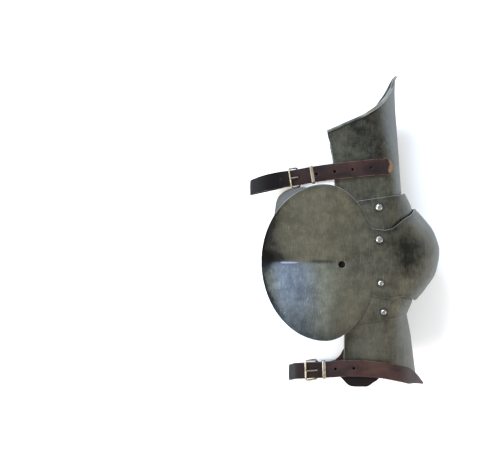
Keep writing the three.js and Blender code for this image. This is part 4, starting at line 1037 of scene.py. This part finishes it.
def strip_holes(points, faces, centres, path):
    """Opens round holes on a band's middle line, at the grid points nearest to the given lengths.

    The ring of grid points that lies HOLE_CELLS from the middle moves out onto the hole's circle.
    """
    across_count = points.shape[1]
    j0 = (across_count - 1) // 2
    i, j = np.indices(points.shape[:2])
    inside = np.zeros(points.shape[:2], dtype=bool)
    for i0, s in centres:
        _, along, across, _ = path.axes(np.array([s]))
        ring = np.maximum(np.abs(i - i0), np.abs(j - j0))
        rim = ring == HOLE_CELLS
        centre = points[i0, j0]
        away = points[rim] - centre
        a = away @ along[0]
        b = away @ across[0]
        scale = HOLE_RADIUS / np.hypot(a, b) - 1
        points[rim] = points[rim] + (a * scale)[:, None] * along[0] + (b * scale)[:, None] * across[0]
        inside |= ring < HOLE_CELLS
    keep = ~inside.ravel()[faces].any(axis=1)
    return points, faces[keep]


def strap_piece(name, body, path, s, width, holes, tip):
    """A strap from its outer face: its holes, its pale tip and its dark rear end."""
    points = band_surface(path, s, width, LEATHER / 2)
    faces = quads(*points.shape[:2])[:, ::-1]
    centres = [(int(np.argmin(np.abs(s - hole))), hole) for hole in holes]
    points, faces = strip_holes(points, faces, centres, path)
    worn = np.zeros(points.shape[:2])
    if tip is not None:
        worn += np.clip(1 - (s[-1] - s) / tip, 0, 1)[:, None]
    x = points[..., 0]
    dark_end, rubbed_from, rubbed_to, amount = STRAP_TONES[body]
    # Painted shade on the rear end, where the strap turns behind the leg
    worn -= 1 - smoothstep(dark_end - DARK_END_FADE, dark_end, x)
    rubbed = amount * smoothstep(rubbed_from, rubbed_to, x) * (points[..., 2] > 0)
    leather_piece(name, body, points, faces, worn, rubbed)


def leather_piece(name, body, points, faces, worn, rubbed):
    """A leather sheet from its outer grid: wall, soft edges, and the fields that its finish reads."""
    fields = {"edge": edge_distance(points), "tip": worn, "rubbed": rubbed + 0 * worn}
    piece = make_mesh(name, points, faces, fields)
    add_wall(piece, LEATHER, STRAP_LOOKS, STRAP_BEVEL)
    settle(piece, body, "leather", name)


def folded_strap(name, body, path, buckle, span, chape, width, slide):
    """A buckle strap: it runs under the strap, turns round the buckle's bar and ends beneath it."""
    turn = np.radians(np.linspace(FOLD_END, FOLD_START, FOLD_ROWS))
    across = np.linspace(-0.5, 0.5, BAND_CELLS + 1) * CHAPE_WIDTH
    x = span / 2 + FOLD_RADIUS * np.cos(turn)[:, None] + 0 * across
    z = LOW_BAR + FOLD_RADIUS * np.sin(turn)[:, None] + 0 * across
    roll = in_place(np.stack([x, across + 0 * x, z], axis=-1), path, buckle)
    start = buckle + span / 2 + FOLD_RADIUS + FOLD_GAP
    s = np.linspace(start, chape, int(chape - start))
    run = band_surface(path, s, width(chape - s), CHAPE_SHIFT + LEATHER / 2, slide=slide(chape - s))
    points = np.concatenate([roll, run])
    faces = quads(*points.shape[:2])[:, ::-1]
    # The slot that the prong turns in, over the fold's outer two thirds
    i, j = np.indices(points.shape[:2])
    slot = ((np.abs(j - BAND_CELLS // 2) < 2) & (i > FOLD_ROWS // 3) & (i <= FOLD_ROWS)).ravel()
    faces = faces[~slot[faces].any(axis=1)]
    # Painted shade over the whole buckle strap, which lies beneath its strap
    leather_piece(name, body, points, faces, SHADED + np.zeros(points.shape[:2]), 0.0)


def in_place(local, path, s):
    """Points given along, across and out of the strap at length s, moved to where the strap is."""
    point, along, across, out = path.axes(np.array([s]))
    return point[0] + local[..., :1] * along[0] + local[..., 1:2] * across[0] + local[..., 2:] * out[0]


NO_BAR_RUNS_ALONG = np.array([0.013, 0.021, 1.0])


def tube_points(line, radius, sides, closed=False):
    """A round bar: circles of the radius set square to a line."""
    if closed:
        ahead = np.roll(line, -1, axis=0) - np.roll(line, 1, axis=0)
    else:
        ahead = np.gradient(line, axis=0)
    ahead /= np.linalg.norm(ahead, axis=1, keepdims=True)
    side = np.cross(ahead, NO_BAR_RUNS_ALONG)
    side /= np.linalg.norm(side, axis=1, keepdims=True)
    other = np.cross(side, ahead)
    turn = np.linspace(0, 2 * math.pi, sides, endpoint=False)[None, :, None]
    radius = np.broadcast_to(np.reshape(radius, (-1, 1, 1)), (len(line), 1, 1))
    return line[:, None] + radius * (side[:, None] * np.cos(turn) + other[:, None] * np.sin(turn))


def tube_faces(rings, sides, closed):
    """Faces between neighbouring rings, and from the last ring to the first where the tube is closed."""
    i = np.arange(rings if closed else rings - 1)[:, None]
    j = np.arange(sides)[None, :]
    nxt = (i + 1) % rings
    a = i * sides + j
    b = nxt * sides + j
    c = nxt * sides + (j + 1) % sides
    d = i * sides + (j + 1) % sides
    return np.stack([a, b, c, d], axis=-1).reshape(-1, 4)


def metal_piece(name, body, points, faces):
    """A part of a buckle, from a grid that closes on itself."""
    piece = make_mesh(name, points, faces, {})
    close_poles(piece)
    piece.data.materials.append(NICKEL_LOOK)
    settle(piece, body, "buckle_metal", name)


def rounded_loop(length, width, corner, per_corner=9, per_side=10):
    """A rectangle's outline with round corners, as evenly placed points."""
    x, y = length / 2 - corner, width / 2 - corner
    spots = []
    for k, (cx, cy) in enumerate(((x, y), (-x, y), (-x, -y), (x, -y))):
        turn = np.radians(np.linspace(90 * k, 90 * (k + 1), per_corner))
        spots.append(np.stack([cx + corner * np.cos(turn), cy + corner * np.sin(turn)], axis=1))
        nx, ny = ((-x, y), (-x, -y), (x, -y), (x, y))[k]
        start = spots[-1][-1]
        turn_end = math.radians(90 * (k + 1))
        stop = np.array([nx + corner * math.cos(turn_end), ny + corner * math.sin(turn_end)])
        t = np.linspace(0, 1, per_side + 2)[1:-1, None]
        spots.append(start + (stop - start) * t)
    return np.concatenate(spots)


def buckle_piece(name, body, path, s, span):
    """The frame: a round bar along a rounded rectangle, tilted so that one bar lies on the strap."""
    width = STRAP_WIDTH + 2 * BUCKLE_SIDE + BUCKLE_BAR
    tilt = math.atan((HIGH_BAR - LOW_BAR) / span)
    loop = rounded_loop(span / math.cos(tilt), width, BUCKLE_CORNER)
    line = np.stack([loop[:, 0] * math.cos(tilt), loop[:, 1],
                     -loop[:, 0] * math.sin(tilt) + (HIGH_BAR + LOW_BAR) / 2], axis=1)
    points = tube_points(line, BUCKLE_BAR / 2 * BAR_SWELL, BAR_SIDES, True)
    metal_piece(name, body, in_place(points, path, s), tube_faces(len(line), BAR_SIDES, True))


def prong_piece(name, body, path, s, span):
    """The prong: a bar that rises beside the fold, bends over and tapers to a round tip on the far bar."""
    tip = HIGH_BAR + BAR_CORNER + CLEARANCE + PRONG_RADIUS
    foot = LOW_BAR + BAR_CORNER + CLEARANCE
    bend = LEATHER / 2 + 1.5
    half = span / 2
    line = Path([(half, 0, foot), (half, 0, LEATHER / 2 - 0.4), (half - 1.4, 0, bend),
                 (0, 0, (tip + bend) / 2 + 0.2), (-half - BUCKLE_BAR / 2, 0, tip)])
    s_line = np.linspace(0, line.length, PRONG_RINGS)
    t = s_line / line.length
    thin = PRONG_RADIUS * (1 - PRONG_TAPER * smoothstep(0.55, 1.0, t)) * round_end(1 - t) * round_end(t)
    points = cap_tube(tube_points(line.at(s_line), thin, PRONG_SIDES))
    faces = tube_faces(points.shape[0], PRONG_SIDES, False)
    metal_piece(name, body, in_place(points, path, s), faces)


def round_end(t):
    """Share of a bar's radius near its end: the root of the distance's share, so the end is round."""
    return np.sqrt(np.clip(t / 0.03, 0.05, 1))


def cap_tube(points):
    """Closes a tube's two ends by shrinking one more ring at each to its middle."""
    first = points[:1].mean(axis=1, keepdims=True) + 0 * points[:1]
    last = points[-1:].mean(axis=1, keepdims=True) + 0 * points[-1:]
    return np.concatenate([first, points, last])


def keeper_piece(name, body, path, s):
    """The keeper: a flat ring round both straps, its section a rounded bar.

    Across the section, width and thickness are the cosine and sine of a full turn, each raised to a power
    below 1, which squares the corners.
    """
    low = CHAPE_SHIFT - LEATHER / 2 - CLEARANCE - KEEPER_WALL / 2
    high = LEATHER / 2 + CLEARANCE + KEEPER_WALL / 2
    width = STRAP_WIDTH + 2 * CLEARANCE + KEEPER_WALL
    loop = rounded_loop(width, high - low, KEEPER_CORNER, 7, 6)
    ahead = np.roll(loop, -1, axis=0) - np.roll(loop, 1, axis=0)
    ahead /= np.linalg.norm(ahead, axis=1, keepdims=True)
    out = np.stack([ahead[:, 1], -ahead[:, 0]], axis=1)
    turn = np.linspace(0, 2 * math.pi, KEEPER_SIDES, endpoint=False)
    flat = np.sign(np.cos(turn)) * np.abs(np.cos(turn)) ** KEEPER_SQUARE[0] * KEEPER_WIDTH / 2
    thick = np.sign(np.sin(turn)) * np.abs(np.sin(turn)) ** KEEPER_SQUARE[1] * KEEPER_WALL / 2
    y = loop[:, None, 0] + out[:, None, 0] * thick[None, :]
    z = loop[:, None, 1] + out[:, None, 1] * thick[None, :] + (high + low) / 2
    x = flat[None, :] + 0 * y
    points = in_place(np.stack([x, y, z], axis=-1), path, s)
    metal_piece(name, body, points, tube_faces(len(loop), KEEPER_SIDES, True))


def make_fastenings():
    """The three straps and all that is on them, at the places that their tables give."""
    thigh, shin, back = strap_paths()
    rows = (
        ("thigh_strap", "thigh", thigh, THIGH_STRAP, SHORT_BUCKLE_LENGTH,
         {"taper": 6.0, "tip_width": 0.5, "holes": (-1, 0, 1, 2, 3, 4), "spread": None, "pale_tip": 9.0}),
        ("greave_strap", "greave", shin, SHIN_STRAP, BUCKLE_LENGTH,
         {"taper": 58.0, "tip_width": 0.12, "holes": (0, 1, 2), "spread": SHIN_TAB, "pale_tip": None}),
        ("knee_strap", "cop", back, KNEE_STRAP, BUCKLE_LENGTH,
         {"taper": 14.0, "tip_width": 0.2, "holes": (-1, 0, 1), "spread": None, "pale_tip": 12.0}),
    )
    for name, body, path, sizes, length, shape in rows:
        if path is back:
            places = {part: back.length * sizes[part] for part in ("tip", "buckle", "keeper", "chape")}
        else:
            places = {part: path.length_at_x(HINGE_X - sizes[part]) for part in ("buckle", "keeper", "chape")}
            places["tip"] = path.length
        make_fastening(name, body, path, length - BUCKLE_BAR, {**places, **shape})


def make_fastening(name, body, path, span, spec):
    """A strap with its buckle strap, buckle, prong, keeper and rivets, all placed by the path's length."""
    prong = spec["buckle"] + span / 2
    step = HOLE_PITCH / CELLS_A_HOLE
    s = prong + step * np.arange(math.ceil(-prong / step), (spec["tip"] - prong) / step)
    s = np.concatenate([[0.0], s[(s > 0.3) & (s < spec["tip"] - 0.3)], [spec["tip"]]])
    left = np.clip((spec["tip"] - s) / spec["taper"], 0, 1)
    width = STRAP_WIDTH * (spec["tip_width"] + (1 - spec["tip_width"]) * left)
    holes = [prong + k * HOLE_PITCH for k in spec["holes"]]
    strap_piece(name, body, path, s, width, holes, spec["pale_tip"])

    def spread(from_end):
        return smooth(spec["spread"], from_end) if spec["spread"] else 0 * from_end

    def chape_width(from_end):
        full = np.minimum(1, CHAPE_END_WIDTH + CHAPE_END_RISE * from_end / CHAPE_END_LENGTH)
        return CHAPE_WIDTH * full + spread(from_end)

    folded_strap(f"{name}_buckle_strap", body, path, spec["buckle"], span, spec["chape"], chape_width,
                 lambda from_end: -spread(from_end) / 2)
    buckle_piece(f"{name}_buckle", body, path, spec["buckle"], span)
    prong_piece(f"{name}_prong", body, path, spec["buckle"], span)
    keeper_piece(f"{name}_keeper", body, path, spec["keeper"])
    make_strap_rivets(name, body)


# The camera: straight above the picture's middle, as the photograph was taken
CAMERA_HEIGHT = 1.15
FOCAL_PIXELS = 792.0
PICTURE_WIDTH = 500.0
SENSOR = 36.0


def make_camera():
    """A camera that looks straight down."""
    data = bpy.data.cameras.new("camera")
    data.sensor_width = SENSOR
    data.lens = FOCAL_PIXELS / PICTURE_WIDTH * SENSOR
    camera = bpy.data.objects.new("camera", data)
    camera.location = (ORIGIN[0], ORIGIN[1], CAMERA_HEIGHT)
    bpy.context.scene.collection.objects.link(camera)
    bpy.context.scene.camera = camera


LIGHT_AIM = (0.0, 0.0, 0.1)
FLOOR_REACH = 6.0


def area_light(name, place, size, power, tint):
    data = bpy.data.lights.new(name, "AREA")
    data.shape = "RECTANGLE"
    data.size, data.size_y = size
    data.energy = power
    data.color = tint
    light = bpy.data.objects.new(name, data)
    light.location = place
    way = np.array(LIGHT_AIM) - np.array(place)
    light.rotation_euler = Vector(way.tolist()).to_track_quat("-Z", "Y").to_euler()
    bpy.context.scene.collection.objects.link(light)


def make_studio():
    floor = bpy.data.meshes.new("floor")
    corners = [(-1, -1), (1, -1), (1, 1), (-1, 1)]
    floor.from_pydata([(x * FLOOR_REACH, y * FLOOR_REACH, 0) for x, y in corners], [], [(0, 1, 2, 3)])
    ground = bpy.data.objects.new("floor", floor)
    bpy.context.scene.collection.objects.link(ground)
    look = Look("floor_paper")
    floor.materials.append(look.finish(Base_Color=colour(0.93, 0.93, 0.93), Roughness=0.9))
    world = bpy.data.worlds.new("studio")
    bpy.context.scene.world = world
    world.use_nodes = True
    background = world.node_tree.nodes["Background"]
    background.inputs["Color"].default_value = colour(0.95, 0.97, 1.0)
    background.inputs["Strength"].default_value = 1.0
    area_light("window", (-0.75, 1.0, 1.45), (0.8, 0.6), 55.0, (0.55, 0.75, 1.0))
    area_light("lamp", (-1.3, -0.5, 1.5), (1.2, 1.2), 36.0, (1.0, 0.95, 0.84))
    area_light("fill", (1.9, -0.7, 0.9), (1.6, 1.6), 19.0, (1.0, 0.96, 0.88))
    bpy.context.scene.view_settings.view_transform = "Standard"


make_camera()
make_plates()
make_hinge_rivets()
make_fastenings()
make_studio()
